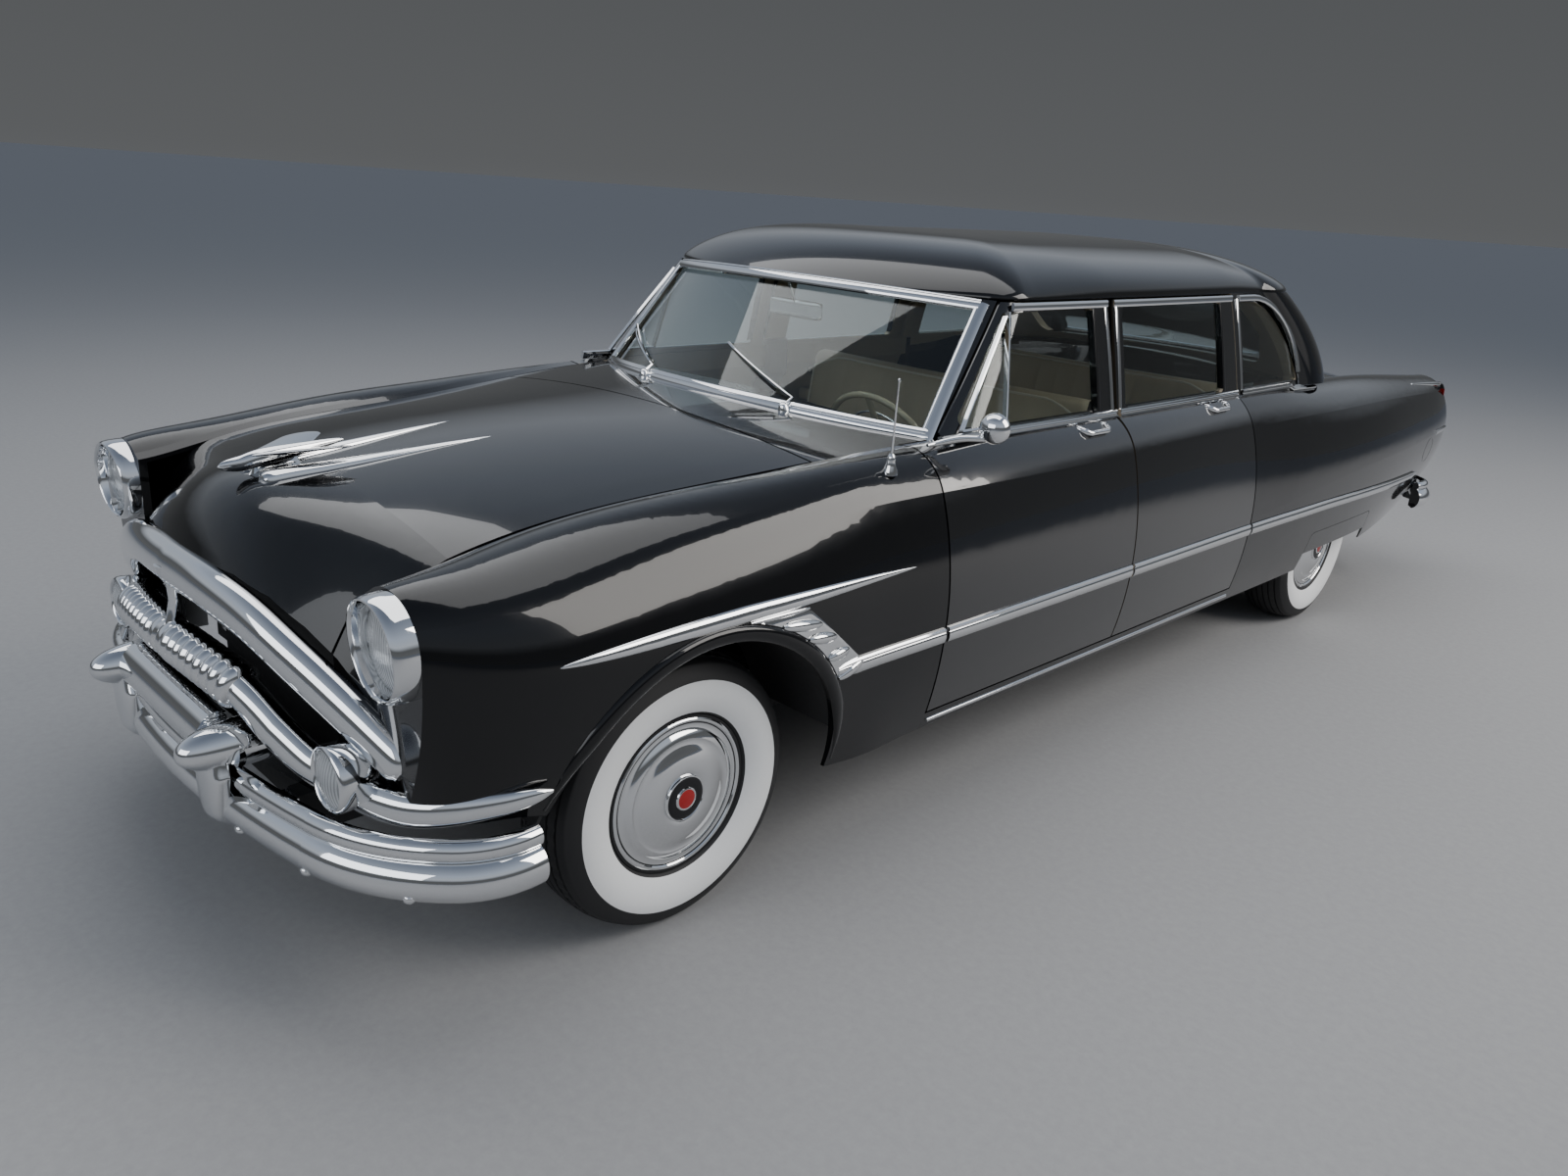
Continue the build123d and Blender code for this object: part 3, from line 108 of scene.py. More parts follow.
PAINT_SPECULAR, COAT_ROUGHNESS, COAT_IOR = 0.12, 0.012, 1.40
CABIN_MIDDLE, TRIM_ROUGHNESS = (0, -0.1, 1.0), 0.85


def painted(name, color, roughness=0.12, coat=1.0, variation=0.03):
    made, tree, shader = new_material(name)
    dark = tuple(c * 0.75 for c in color)
    tree.links.new(mix_color(tree, noise(tree, 3.0), dark, color), shader.inputs["Base Color"])
    tree.links.new(spread(tree, noise(tree, 18.0), 0.3, 0.7, roughness, roughness + variation),
                   shader.inputs["Roughness"])
    set_input(shader, "Specular IOR Level", PAINT_SPECULAR)
    set_input(shader, "Coat Weight", coat)
    set_input(shader, "Coat Roughness", COAT_ROUGHNESS)
    set_input(shader, "Coat IOR", COAT_IOR)
    return made


def metal(name, color, low, high, scale=30.0):
    made, tree, shader = new_material(name)
    set_input(shader, "Metallic", 1.0)
    dark = tuple(c * 0.94 for c in color)
    tree.links.new(mix_color(tree, noise(tree, 6.0), dark, color), shader.inputs["Base Color"])
    tree.links.new(spread(tree, noise(tree, scale), 0.3, 0.7, low, high), shader.inputs["Roughness"])
    return made


def matt(name, color, dark, scale, strength, distance, roughness=0.7):
    made, tree, shader = new_material(name)
    grain = noise(tree, scale, 6.0, 0.65)
    tree.links.new(mix_color(tree, grain, dark, color), shader.inputs["Base Color"])
    tree.links.new(spread(tree, grain, 0.2, 0.8, roughness - 0.08, min(1.0, roughness + 0.1)),
                   shader.inputs["Roughness"])
    bump(tree, shader, grain, strength, distance)
    return made


def glassy(name, color, roughness=0.0, ior=1.45):
    made, tree, shader = new_material(name)
    set_input(shader, "Transmission Weight", 1.0)
    set_input(shader, "IOR", ior)
    set_input(shader, "Base Color", (*color, 1))
    tree.links.new(spread(tree, noise(tree, 9.0), 0.3, 0.7, roughness, roughness + 0.012),
                   shader.inputs["Roughness"])
    return made


def fluted(name, color, pitch, roughness=0.05):
    made, tree, shader = new_material(name)
    set_input(shader, "Transmission Weight", 0.45)
    set_input(shader, "IOR", 1.3)
    set_input(shader, "Roughness", roughness)
    parts = tree.nodes.new("ShaderNodeSeparateXYZ")
    tree.links.new(object_point(tree), parts.inputs[0])
    wave = math_node(tree, "SINE", math_node(tree, "MULTIPLY", parts.outputs[0], 2 * math.pi / (pitch * MM)))
    bars = math_node(tree, "SINE", math_node(tree, "MULTIPLY", parts.outputs[2], math.pi / (pitch * 4 * MM)))
    both = math_node(tree, "ADD", wave, math_node(tree, "MULTIPLY", bars, 0.4))
    # Bands across the flutes and bars darken the glass colour to 0.45: painted shade and highlight; the bump
    # gives the relief
    dark = tuple(0.45 * c for c in color)
    share = spread(tree, both, -1.4, 1.4, 0.0, 1.0)
    tree.links.new(mix_color(tree, share, dark, color), shader.inputs["Base Color"])
    bump(tree, shader, both, 0.35, 0.0012)
    return made


def two_sided(name, paint, trim):
    """Gloss paint outside and cloth trim where the surface faces the cabin's middle."""
    made, tree, shader = new_material(name)
    geometry = tree.nodes.new("ShaderNodeNewGeometry")
    centre = tree.nodes.new("ShaderNodeVectorMath")
    centre.operation = "SUBTRACT"
    centre.inputs[1].default_value = CABIN_MIDDLE
    tree.links.new(object_point(tree), centre.inputs[0])
    dot = tree.nodes.new("ShaderNodeVectorMath")
    dot.operation = "DOT_PRODUCT"
    tree.links.new(centre.outputs[0], dot.inputs[0])
    tree.links.new(geometry.outputs["Normal"], dot.inputs[1])
    inside = math_node(tree, "LESS_THAN", dot.outputs["Value"], -0.02)
    tree.links.new(mix_color(tree, inside, paint, trim), shader.inputs["Base Color"])
    tree.links.new(spread(tree, inside, 0, 1, 0.11, TRIM_ROUGHNESS), shader.inputs["Roughness"])
    tree.links.new(math_node(tree, "SUBTRACT", 1.0, inside), shader.inputs["Coat Weight"])
    set_input(shader, "Coat Roughness", 0.015)
    weave = math_node(tree, "MULTIPLY", noise(tree, 900.0), inside)
    bump(tree, shader, weave, 0.25, 0.0006)
    return made


BLACK = (0.0045, 0.0047, 0.0055)
TRIM = (0.36, 0.30, 0.22)
paint = painted("paint_black", BLACK)
paint_in = two_sided("paint_black_trimmed", BLACK, TRIM)
chrome = metal("chrome", (0.86, 0.87, 0.88), 0.025, 0.06)
satin = metal("satin_steel", (0.62, 0.63, 0.64), 0.22, 0.32, 60.0)
glass = glassy("window_glass", (0.86, 0.93, 0.91))
lens = fluted("lens_clear", (0.93, 0.95, 0.96), 9.0)
lens_red = fluted("lens_red", (0.5, 0.012, 0.01), 6.0)
reflector = metal("reflector", (0.78, 0.8, 0.82), 0.12, 0.2)
rubber = matt("rubber", (0.022, 0.022, 0.023), (0.012, 0.012, 0.013), 400.0, 0.2, 0.0004, 0.62)
white_wall = matt("white_wall", (0.93, 0.94, 0.94), (0.87, 0.88, 0.88), 120.0, 0.05, 0.0003, 0.5)
leather = matt("seat_leather", (0.60, 0.50, 0.36), (0.50, 0.41, 0.29), 350.0, 0.25, 0.0006, 0.48)
piping = matt("seat_piping", (0.80, 0.74, 0.62), (0.70, 0.64, 0.52), 300.0, 0.1, 0.0003, 0.45)
cloth = matt("trim_cloth", TRIM, (0.30, 0.25, 0.18), 700.0, 0.4, 0.0006, 0.85)
carpet = matt("carpet", (0.05, 0.045, 0.04), (0.02, 0.018, 0.016), 900.0, 0.8, 0.003, 0.95)
under = matt("underbody", (0.025, 0.025, 0.026), (0.012, 0.012, 0.012), 60.0, 0.4, 0.002, 0.7)
cast = matt("cast_metal", (0.06, 0.065, 0.07), (0.03, 0.032, 0.035), 120.0, 0.5, 0.002, 0.6)
pipe_metal = metal("steel_pipe", (0.28, 0.27, 0.26), 0.35, 0.6, 25.0)
dash_paint = painted("dash_paint", (0.03, 0.028, 0.026), 0.22)
ivory = painted("wheel_ivory", (0.55, 0.47, 0.33), 0.25)
red_enamel = painted("red_enamel", (0.42, 0.015, 0.015), 0.15)
dial = painted("dial_face", (0.02, 0.02, 0.022), 0.3, 0.3)
mirror_glass = metal("mirror_glass", (0.9, 0.91, 0.92), 0.01, 0.02)
rim_black = painted("rim_black", (0.006, 0.006, 0.007), 0.2)

cad_materials = {
    "chassis_frame": under, "floor_pan": carpet, "wheelhouses_front": under, "wheelhouses_rear": under,
    "sills": paint, "centre_pillars": paint, "skirts": paint, "rear_deck": paint, "upper_frame": paint_in,
    "roof_panel": paint_in, "cowl": paint, "hood": paint, "boot_lid": paint, "front_apron": paint,
    "grille_surround": chrome, "grille_bar": chrome, "front_bumper": chrome, "bumper_guards": chrome,
    "rear_bumper": chrome, "headlamp_bezels": chrome, "headlamp_lenses": lens, "parking_lamps": chrome,
    "tail_lamps": lens_red, "dashboard": dash_paint, "front_seat": leather, "rear_seat": leather,
    "steering_column": dash_paint, "steering_wheel": ivory, "engine_block": cast, "driveline": cast,
    "radiator": under, "exhaust": pipe_metal, "fuel_tank": under, "front_suspension": under,
    "rear_axle": cast, "hood_ornament": chrome, "fixed_glass": glass,
}
for node_name, obj in nodes.items():
    if node_name.startswith("door_glass"):
        look = glass
    elif node_name.startswith("door_"):
        look = paint_in
    elif node_name.startswith("tyre_"):
        look = rubber
    elif node_name.startswith("wheel_") or node_name.startswith("knuckle"):
        look = cast
    else:
        look = cad_materials.get(node_name, paint)
    obj.data.materials.clear()
    obj.data.materials.append(look)


# Mesh helpers
def make_object(name, vertices, faces, material, body, materials=None, face_slots=None, sharp=38.0,
                replaces=()):
    mesh = bpy.data.meshes.new(name)
    mesh.from_pydata([Vector(v) * MM for v in vertices], [], faces)
    mesh.validate()
    for used in (materials or [material]):
        mesh.materials.append(used)
    if face_slots:
        for polygon, index in zip(mesh.polygons, face_slots):
            polygon.material_index = index
    mesh.polygons.foreach_set("use_smooth", [True] * len(mesh.polygons))
    mesh.set_sharp_from_angle(angle=math.radians(sharp))
    made = bpy.data.objects.new(name, mesh)
    bpy.context.collection.objects.link(made)
    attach(made, body)
    if replaces:
        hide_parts(*replaces)
    return made


def flipped(vertices, faces):
    return [(-v[0], v[1], v[2]) for v in vertices], [tuple(reversed(f)) for f in faces]


def pair(name, vertices, faces, material, body, **more):
    """The left-hand piece and its mirror image; names and bodies swap left for right."""
    replaces = more.pop("replaces", ())
    left = make_object(name, vertices, faces, material, body, replaces=replaces, **more)
    vertices, faces = flipped(vertices, faces)
    name, body, *replaces = (word.replace("left", "right") for word in (name, body, *replaces))
    right = make_object(name, vertices, faces, material, body, replaces=replaces, **more)
    return left, right


def joined(parts):
    """One list of vertices and faces out of several."""
    vertices, faces = [], []
    for v, f in parts:
        start = len(vertices)
        vertices += [tuple(p) for p in v]
        faces += [tuple(i + start for i in face) for face in f]
    return vertices, faces


def rows_to_mesh(rows, closed_rows=False, closed_ends=False, caps=False):
    """Quads between neighbouring rows of points."""
    count, length = len(rows), len(rows[0])
    vertices = [tuple(p) for row in rows for p in row]
    faces = []
    for i in range(count if closed_ends else count - 1):
        j = (i + 1) % count
        for k in range(length if closed_rows else length - 1):
            n = (k + 1) % length
            faces.append((i * length + k, i * length + n, j * length + n, j * length + k))
    if caps:
        faces.append(tuple(reversed(range(length))))
        faces.append(tuple((count - 1) * length + k for k in range(length)))
    return vertices, faces


def fractions(count):
    """Evenly spaced numbers from 0 to 1."""
    return [i / (count - 1) for i in range(count)]


def circle(count):
    """Evenly spaced angles once round, in radians."""
    return [2 * math.pi * k / count for k in range(count)]


def ellipse(count=28):
    """Cosine and sine pairs once round."""
    return [(math.cos(a), math.sin(a)) for a in circle(count)]


def direction_at(points, i):
    return (points[min(i + 1, len(points) - 1)] - points[max(i - 1, 0)]).normalized()


def turn_x(degrees):
    return Matrix.Rotation(math.radians(degrees), 3, "X")


def welded(made, distance=0.0003):
    """Merge the object's points that lie within the distance, in metres."""
    bm = bmesh.new()
    bm.from_mesh(made.data)
    bmesh.ops.remove_doubles(bm, verts=bm.verts, dist=distance)
    bm.to_mesh(made.data)
    bm.free()
    return made


def turned(profile, centre, axis, segments=64):
    """Revolve a profile of (along the axis, radius) points about an axis through the centre."""
    axis = Vector(axis).normalized()
    side = axis.orthogonal().normalized()
    other = axis.cross(side)
    centre = Vector(centre)
    rows = []
    for i in range(segments):
        angle = math.radians(360.0 * i / segments)
        out = side * math.cos(angle) + other * math.sin(angle)
        rows.append([centre + axis * a + out * max(r, 0.01) for a, r in profile])
    return rows_to_mesh(rows, closed_ends=True)


def tube(path, radii, segments=12, caps=True):
    """Round bar along a path of points, with one radius or one at each point."""
    points = [Vector(p) for p in path]
    radii = radii if isinstance(radii, list) else [radii] * len(points)
    rows = []
    up = None
    for i, p in enumerate(points):
        along = direction_at(points, i)
        up = (up or along.orthogonal()).normalized()
        up = (up - along * up.dot(along)).normalized()
        side = along.cross(up)
        rows.append([p + (up * c + side * s) * radii[i] for c, s in ellipse(segments)])
    return rows_to_mesh(rows, closed_rows=True, caps=caps)


def bar(places, section, scale=None):
    """Strip whose section of (across, out) points follows places, each a point and its outward direction."""
    points = [Vector(p) for p, _ in places]
    rows = []
    for i, (p, out) in enumerate(places):
        along = direction_at(points, i)
        out = Vector(out)
        out = (out - along * out.dot(along)).normalized()
        across = out.cross(along)
        size = scale[i] if scale else 1.0
        rows.append([p + across * (a * size) + out * (o * size) for a, o in section])
    return rows_to_mesh(rows, closed_rows=True, caps=True)


def smooth_curve(points, count):
    """Points on a Catmull-Rom curve through a few points."""
    pts = [Vector(p) for p in points]
    pts = [pts[0] * 2 - pts[1]] + pts + [pts[-1] * 2 - pts[-2]]
    spans = len(pts) - 3
    out = []
    for i in range(count):
        t = i / (count - 1) * spans
        k = min(int(t), spans - 1)
        t -= k
        a, b, c, d = pts[k:k + 4]
        out.append(0.5 * (2 * b + (c - a) * t + (2 * a - 5 * b + 4 * c - d) * t * t
                          + (3 * b - a - 3 * c + d) * t ** 3))
    return out


def tree_of(names):
    vertices, faces = [], []
    for name in names:
        mesh = nodes[name].data
        start = len(vertices)
        vertices += [v.co.copy() for v in mesh.vertices]
        faces += [tuple(i + start for i in p.vertices) for p in mesh.polygons]
    return BVHTree.FromPolygons(vertices, faces)


LEFT_SKIN = ["front_fender_left", "door_front_left", "door_rear_left", "rear_quarter_left", "skirts", "sills"]
side_tree = tree_of(LEFT_SKIN)
top_tree = tree_of(["hood", "cowl", "front_fender_left", "front_fender_right", "rear_deck", "boot_lid",
                    "rear_quarter_left", "rear_quarter_right", "roof_panel"])


def ray_hit(tree, start, direction, lift=0.0):
    """Where a ray meets a surface, lifted off it, and the outward direction; two None where it misses."""
    direction = Vector(direction)
    hit, normal, _, _ = tree.ray_cast(Vector([c * MM for c in start]), direction)
    if hit is None:
        return None, None
    if normal.dot(direction) > 0:
        normal = -normal
    return hit / MM + normal * lift, normal


def found(places):
    return [place for place in places if place[0] is not None]


def on_side(y, z, lift=0.0):
    """Point and outward direction on the left flank."""
    place, out = ray_hit(side_tree, (1500, y, z), (-1, 0, 0), lift)
    return (None, None) if place is None or place.x < 500 else (place, out)


def on_top(x, y, lift=0.0):
    return ray_hit(top_tree, (x, y, 2000), (0, 0, -1), lift)


def trim(name, places, section, body, material=chrome, mirror=True, scale=None):
    """Bright strip along places, with its mirror image unless it crosses the middle."""
    make = pair if mirror else make_object
    make(name, *bar(places, section, scale), material, body)


def side_strip(name, ends, z_of, section, body, step=25.0, widths=None, lift=0.0):
    """Strip along the flank between two places, mirrored to the right."""
    y0, y1 = ends
    count = max(4, int(abs(y1 - y0) / step) + 2)
    places = found(on_side(y, z_of(y), lift) for y in [y0 + (y1 - y0) * t for t in fractions(count)])
    places = [(p, Vector((n.x, n.y * 0.3, n.z)).normalized()) for p, n in places]
    scale = [widths((p.y - y0) / (y1 - y0)) for p, _ in places] if widths else None
    trim(name, places, section, body, scale=scale)


# Camera, light and floor; metres here
CAMERA_PLACE = (2.7623, -3.7939, 1.7688)
CAMERA_AZIMUTH, CAMERA_ELEVATION, CAMERA_ROLL = 44.06, 18.93, 3.88
FOCAL_PIXELS, PHOTO_WIDTH, SENSOR_WIDTH = 1198.6, 1600, 36.0
FLOOR_HALF, FLOOR_DARK, FLOOR_PALE = 400.0, (0.30, 0.30, 0.305), (0.40, 0.40, 0.40)
SKY_STRENGTH = 0.85
SKY = ((0.0, (0.22, 0.22, 0.22, 1)), (1.0, (0.16, 0.19, 0.25, 1)), (0.17, (0.13, 0.135, 0.14, 1)),
       (0.30, (0.11, 0.115, 0.12, 1)), (0.42, (0.50, 0.54, 0.60, 1)), (0.62, (0.44, 0.50, 0.60, 1)))
# Lamps by name: place, target, width, height, power, colour
LIGHTS = {
    "key": ((7.5, 4.5, 6.5), (0, 0, 0.6), 6.5, 6.5, 800, (1.0, 0.96, 0.91)),
    "top": ((-1.5, -0.5, 7.5), (0, 0, 0), 5.0, 10.0, 330, (1, 1, 1)),
    "front": ((1.0, -11.0, 4.5), (0, -2.0, 0.6), 9.0, 4.0, 260, (0.93, 0.96, 1.0)),
}


def place_camera():
    azimuth, elevation, roll = (math.radians(a) for a in (CAMERA_AZIMUTH, CAMERA_ELEVATION, CAMERA_ROLL))
    back = Vector((math.sin(azimuth) * math.cos(elevation), -math.cos(azimuth) * math.cos(elevation),
                   math.sin(elevation)))
    right = Vector((0, 0, 1)).cross(back).normalized()
    up = back.cross(right)
    turned_right = right * math.cos(roll) + up * math.sin(roll)
    turned_up = up * math.cos(roll) - right * math.sin(roll)
    data = bpy.data.cameras.new("camera")
    camera = bpy.data.objects.new("camera", data)
    bpy.context.collection.objects.link(camera)
    camera.matrix_world = Matrix.Translation(CAMERA_PLACE) @ Matrix(
        (turned_right, turned_up, back)).transposed().to_4x4()
    data.sensor_fit = "HORIZONTAL"
    data.sensor_width = SENSOR_WIDTH
    data.lens = FOCAL_PIXELS / PHOTO_WIDTH * SENSOR_WIDTH
    data.clip_end = 200.0
    bpy.context.scene.camera = camera


def lay_floor():
    floor, tree, shader = new_material("floor")
    grain = noise(tree, 40.0, 8.0, 0.7)
    tree.links.new(mix_color(tree, grain, FLOOR_DARK, FLOOR_PALE), shader.inputs["Base Color"])
    set_input(shader, "Roughness", 0.85)
    set_input(shader, "Specular IOR Level", 0.08)
    bump(tree, shader, grain, 0.15, 0.004)
    mesh = bpy.data.meshes.new("floor")
    corners = [(x * FLOOR_HALF, y * FLOOR_HALF, 0) for x, y in ((-1, -1), (1, -1), (1, 1), (-1, 1))]
    mesh.from_pydata(corners, [], [(0, 1, 2, 3)])
    mesh.materials.append(floor)
    ground = bpy.data.objects.new("floor", mesh)
    bpy.context.collection.objects.link(ground)


def light_studio():
    world = bpy.data.worlds.new("studio")
    bpy.context.scene.world = world
    world.use_nodes = True
    tree = world.node_tree
    background = tree.nodes["Background"]
    coordinates = tree.nodes.new("ShaderNodeTexCoord")
    parts = tree.nodes.new("ShaderNodeSeparateXYZ")
    tree.links.new(coordinates.outputs["Generated"], parts.inputs[0])
    ramp = tree.nodes.new("ShaderNodeValToRGB")
    tree.links.new(spread(tree, parts.outputs[2], -0.2, 1.0, 0.0, 1.0), ramp.inputs[0])
    stops = ramp.color_ramp.elements
    for index, (position, color) in enumerate(SKY):
        stop = stops[index] if index < 2 else stops.new(position)
        stop.position = position
        stop.color = color
    tree.links.new(ramp.outputs[0], background.inputs[0])
    background.inputs[1].default_value = SKY_STRENGTH
    for name, (place, target, width, height, power, color) in LIGHTS.items():
        light = bpy.data.lights.new(name, "AREA")
        light.shape = "RECTANGLE"
        light.size, light.size_y, light.energy, light.color = width, height, power, color
        made = bpy.data.objects.new(name, light)
        bpy.context.collection.objects.link(made)
        made.location = place
        made.rotation_euler = (Vector(target) - Vector(place)).to_track_quat("-Z", "Y").to_euler()


place_camera()
lay_floor()
light_studio()


# Wheels and tyres; profiles are (out along the axle, radius) points
BEAD_RADIUS, SHOULDER_RADIUS, TYRE_RADIUS = 209, 338, 355.0
BEAD_HALF, TREAD_HALF, TYRE_HALF = 84, 86, 107.0
TYRE_FOOT = [(74.5, 205.5), (74.5, 196)]
GROOVES, GROOVE_DEPTH = (-66, -40, -14, 14, 40, 66), 8
WHITE_RADII = (213, 303.5)
CROWN_DROP, CROWN_HALF, CROWN_POWER = 17.0, 88, 2.6
GROOVE_HALF, GROOVE_FLOOR_HALF = 3.5, 2.5
TYRE_SEGMENTS, WHEEL_SEGMENTS = 240, 128
# Nicks in the outer ribs of the tread
NICK_STEP, NICK_DEPTH, NICK_RADIUS, NICK_BAND = 4, 3.0, 342, (39, 67)


def tyre_piece(name, x, y, body, outward):
    """Tyre with a ribbed tread and a broad white wall on the outer side."""
    def wall(side):
        points = []
        for t in fractions(25):
            bulge = BEAD_HALF + (TYRE_HALF - BEAD_HALF) * math.sin(math.pi * min(1, t * 1.02)) ** 0.8 + 4 * t
            points.append((side * bulge, BEAD_RADIUS + (SHOULDER_RADIUS - BEAD_RADIUS) * t))
        return points
    tread, edge = [], -TREAD_HALF
    for g in GROOVES:
        tread += [(edge, 0), (g - GROOVE_HALF, 0), (g - GROOVE_FLOOR_HALF, -GROOVE_DEPTH),
                  (g + GROOVE_FLOOR_HALF, -GROOVE_DEPTH), (g + GROOVE_HALF, 0)]
        edge = g + GROOVE_HALF + 0.1
    tread.append((TREAD_HALF, 0))
    crown = [(a, TYRE_RADIUS - CROWN_DROP * (abs(a) / CROWN_HALF) ** CROWN_POWER + d) for a, d in tread]
    foot = [(-a, r) for a, r in reversed(TYRE_FOOT)]
    profile = foot + wall(-1) + crown + list(reversed(wall(1))) + TYRE_FOOT
    if outward < 0:
        profile = [(-a, r) for a, r in reversed(profile)]
    vertices, faces = turned(profile, (x, y, Z_HUB), (1, 0, 0), TYRE_SEGMENTS)
    length = len(profile)
    nicked = []
    for index, v in enumerate(vertices):
        turn, k = divmod(index, length)
        a, r = profile[k]
        p = Vector(v)
        if r > NICK_RADIUS and turn % NICK_STEP == 0 and NICK_BAND[0] < abs(a) < NICK_BAND[1]:
            p -= Vector((0, p.y - y, p.z - Z_HUB)).normalized() * NICK_DEPTH
        nicked.append(p)
    slots = []
    for face in faces:
        k = min(face[0] % length, face[1] % length)
        a, r = profile[k]
        r_next = profile[min(k + 1, length - 1)][1]
        white = a * outward > 60 and min(r, r_next) >= WHITE_RADII[0] and max(r, r_next) <= WHITE_RADII[1]
        slots.append(1 if white else 0)
    make_object(name, nicked, faces, rubber, body, materials=[rubber, white_wall], face_slots=slots, sharp=50,
                replaces=[name])


RIM = [(-75, 205), (-75, 191), (-57, 186), (-34, 168), (33, 168), (57, 186), (75, 191), (75, 205), (79, 209),
       (83, 206), (82, 184), (60, 179), (37, 160), (-37, 160), (-60, 179), (-81, 184), (-82, 206), (-79, 209),
       (-75, 205)]
DISC = [(22, 163), (32, 163), (40, 120), (42, 58), (32, 58), (30, 120), (22, 163)]
HUB = [(-46, 26.2), (76, 26.2), (76, 60), (-46, 60), (-46, 26.2)]
DRUM = [(-46, 140), (24, 140), (24, 55), (14, 55), (14, 130), (-46, 130)]
COVER = [(80, 200), (84, 198.5), (86, 195), (85.5, 190), (82, 187), (80, 180), (80.5, 172), (84, 166),
         (88, 160), (91, 152), (92, 149), (90.5, 145), (90, 140), (92, 132), (96, 122), (100.5, 110),
         (104, 96), (106, 82), (106.5, 72), (105.5, 64), (104, 61)]
COVER_RING = [(104, 61), (106.5, 60.5), (109.5, 58.5), (110, 56), (108, 54.5)]
COVER_FACE = [(108, 54.5), (109, 52), (110, 40), (110, 31)]
COVER_BEAD = [(110, 31), (112.5, 29.5), (113.5, 27), (113, 25)]
COVER_JEWEL = [(113, 25), (114, 20), (115, 10), (115.3, 0)]
WHEEL_LOOKS = [rim_black, cast, chrome, dial, red_enamel]
WHEEL_PROFILES = ((RIM, 0), (DISC, 0), (HUB, 1), (DRUM, 1), (COVER, 2), (COVER_RING, 2), (COVER_FACE, 3),
                  (COVER_BEAD, 2), (COVER_JEWEL, 4))


def wheel_piece(name, x, y, body, outward):
    """Black steel rim and brake drum, with a full chrome cover and a plain enamelled centre."""
    meshes, slots = [], []
    for profile, slot in WHEEL_PROFILES:
        mesh = turned([(a * outward, r) for a, r in profile], (x, y, Z_HUB), (1, 0, 0), WHEEL_SEGMENTS)
        meshes.append(mesh)
        slots += [slot] * len(mesh[1])
    make_object(name, *joined(meshes), chrome, body, materials=WHEEL_LOOKS, face_slots=slots, sharp=30,
                replaces=[name])


for end, y, track in (("front", Y_FRONT_AXLE, X_FRONT_WHEEL), ("rear", Y_REAR_AXLE, X_REAR_WHEEL)):
    for side, sign in (("left", 1), ("right", -1)):
        tyre_piece(f"tyre_{end}_{side}", sign * track, y, f"wheel_{end}_{side}", sign)
        wheel_piece(f"wheel_{end}_{side}", sign * track, y, f"wheel_{end}_{side}", sign)


# Flank trim; sections are (across, out) points
HALF_ROUND = [(-1, 0), (-0.92, 0.42), (-0.7, 0.75), (-0.35, 0.95), (0, 1), (0.35, 0.95), (0.7, 0.75),
              (0.92, 0.42), (1, 0)]
MOULDING = [(-22, 0), (-22, 5), (-17, 9), (-8, 11.5), (2, 12), (9, 9.5), (11, 8), (13, 9.5), (18, 9), (22, 5),
            (22, 0)]
SPEAR_ENDS, Z_SPEAR, SPEAR_DROP = (-2553.0, -1432.0), 831, 12
Z_MOULDING, Z_ROCKER = 624.5, 344
# Where the moulding starts to fall, over what length, by how much
Y_FALL, FALL_LENGTH, MOULDING_FALL = 1300, 1380, 34.0
SILL_ENDS = (-1285, 600)
# Name, ends along Y, body and the function of the place that narrows the moulding
MOULDINGS = (
    ("moulding_fender_left", (-1735, -1308), "body",
     lambda t: 1.0 if t > 0.16 else 0.45 + 0.55 * math.sqrt(max(0, t) / 0.16)),
    ("moulding_door_front_left", (-1292, -298), "door_front_left", None),
    ("moulding_door_rear_left", (-283, 601), "door_rear_left", None),
    ("moulding_quarter_left", (617, 2680), "body",
     lambda t: 1.0 if t < 0.93 else max(0.1, 1 - (t - 0.93) / 0.07 * 0.9)),
)


def half_round(across, out):
    return [(a * across, o * out) for a, o in HALF_ROUND]


def spear_z(y):
    return Z_SPEAR + SPEAR_DROP * min(1, (y - SPEAR_ENDS[0]) / 500)


def spear_taper(t):
    return max(0.04, (math.sin(math.pi * min(1, max(0, t)) ** 0.8)) ** 0.75)


def moulding_z(y):
    return Z_MOULDING - MOULDING_FALL * (max(0, y - Y_FALL) / FALL_LENGTH) ** 1.3


side_strip("spear_left", SPEAR_ENDS, spear_z, half_round(20, 9), "body", step=14.0, widths=spear_taper,
           lift=-0.5)
for name, ends, body, taper in MOULDINGS:
    side_strip(name, ends, moulding_z, MOULDING, body, widths=taper, lift=-0.5)
side_strip("rocker_moulding_left", SILL_ENDS, lambda y: Z_ROCKER, half_round(7, 6), "body")

# Behind and round the front wheel opening; (y, z) places
ARCH_CENTRE = Vector((Y_FRONT_AXLE, 360.0))
ARCH_RADIUS, GILL_RADIUS = 446, 468
ARCH_START, ARCH_SWEEP, Z_ARCH_FOOT = 200, 232, 345
GILL_CORNERS = [Vector(c) for c in ((-2052, 820), (-1850, 818), (-1632, 628), (-1752, 592))]
GILL_RIBS = (0.0, 0.27, 0.50, 0.73, 0.97)


def clear_of_arch(yz):
    """Keep a (y, z) place on the fender outside the lip of the wheel opening."""
    from_axle = yz - ARCH_CENTRE
    return yz if from_axle.length > GILL_RADIUS else ARCH_CENTRE + from_axle.normalized() * GILL_RADIUS


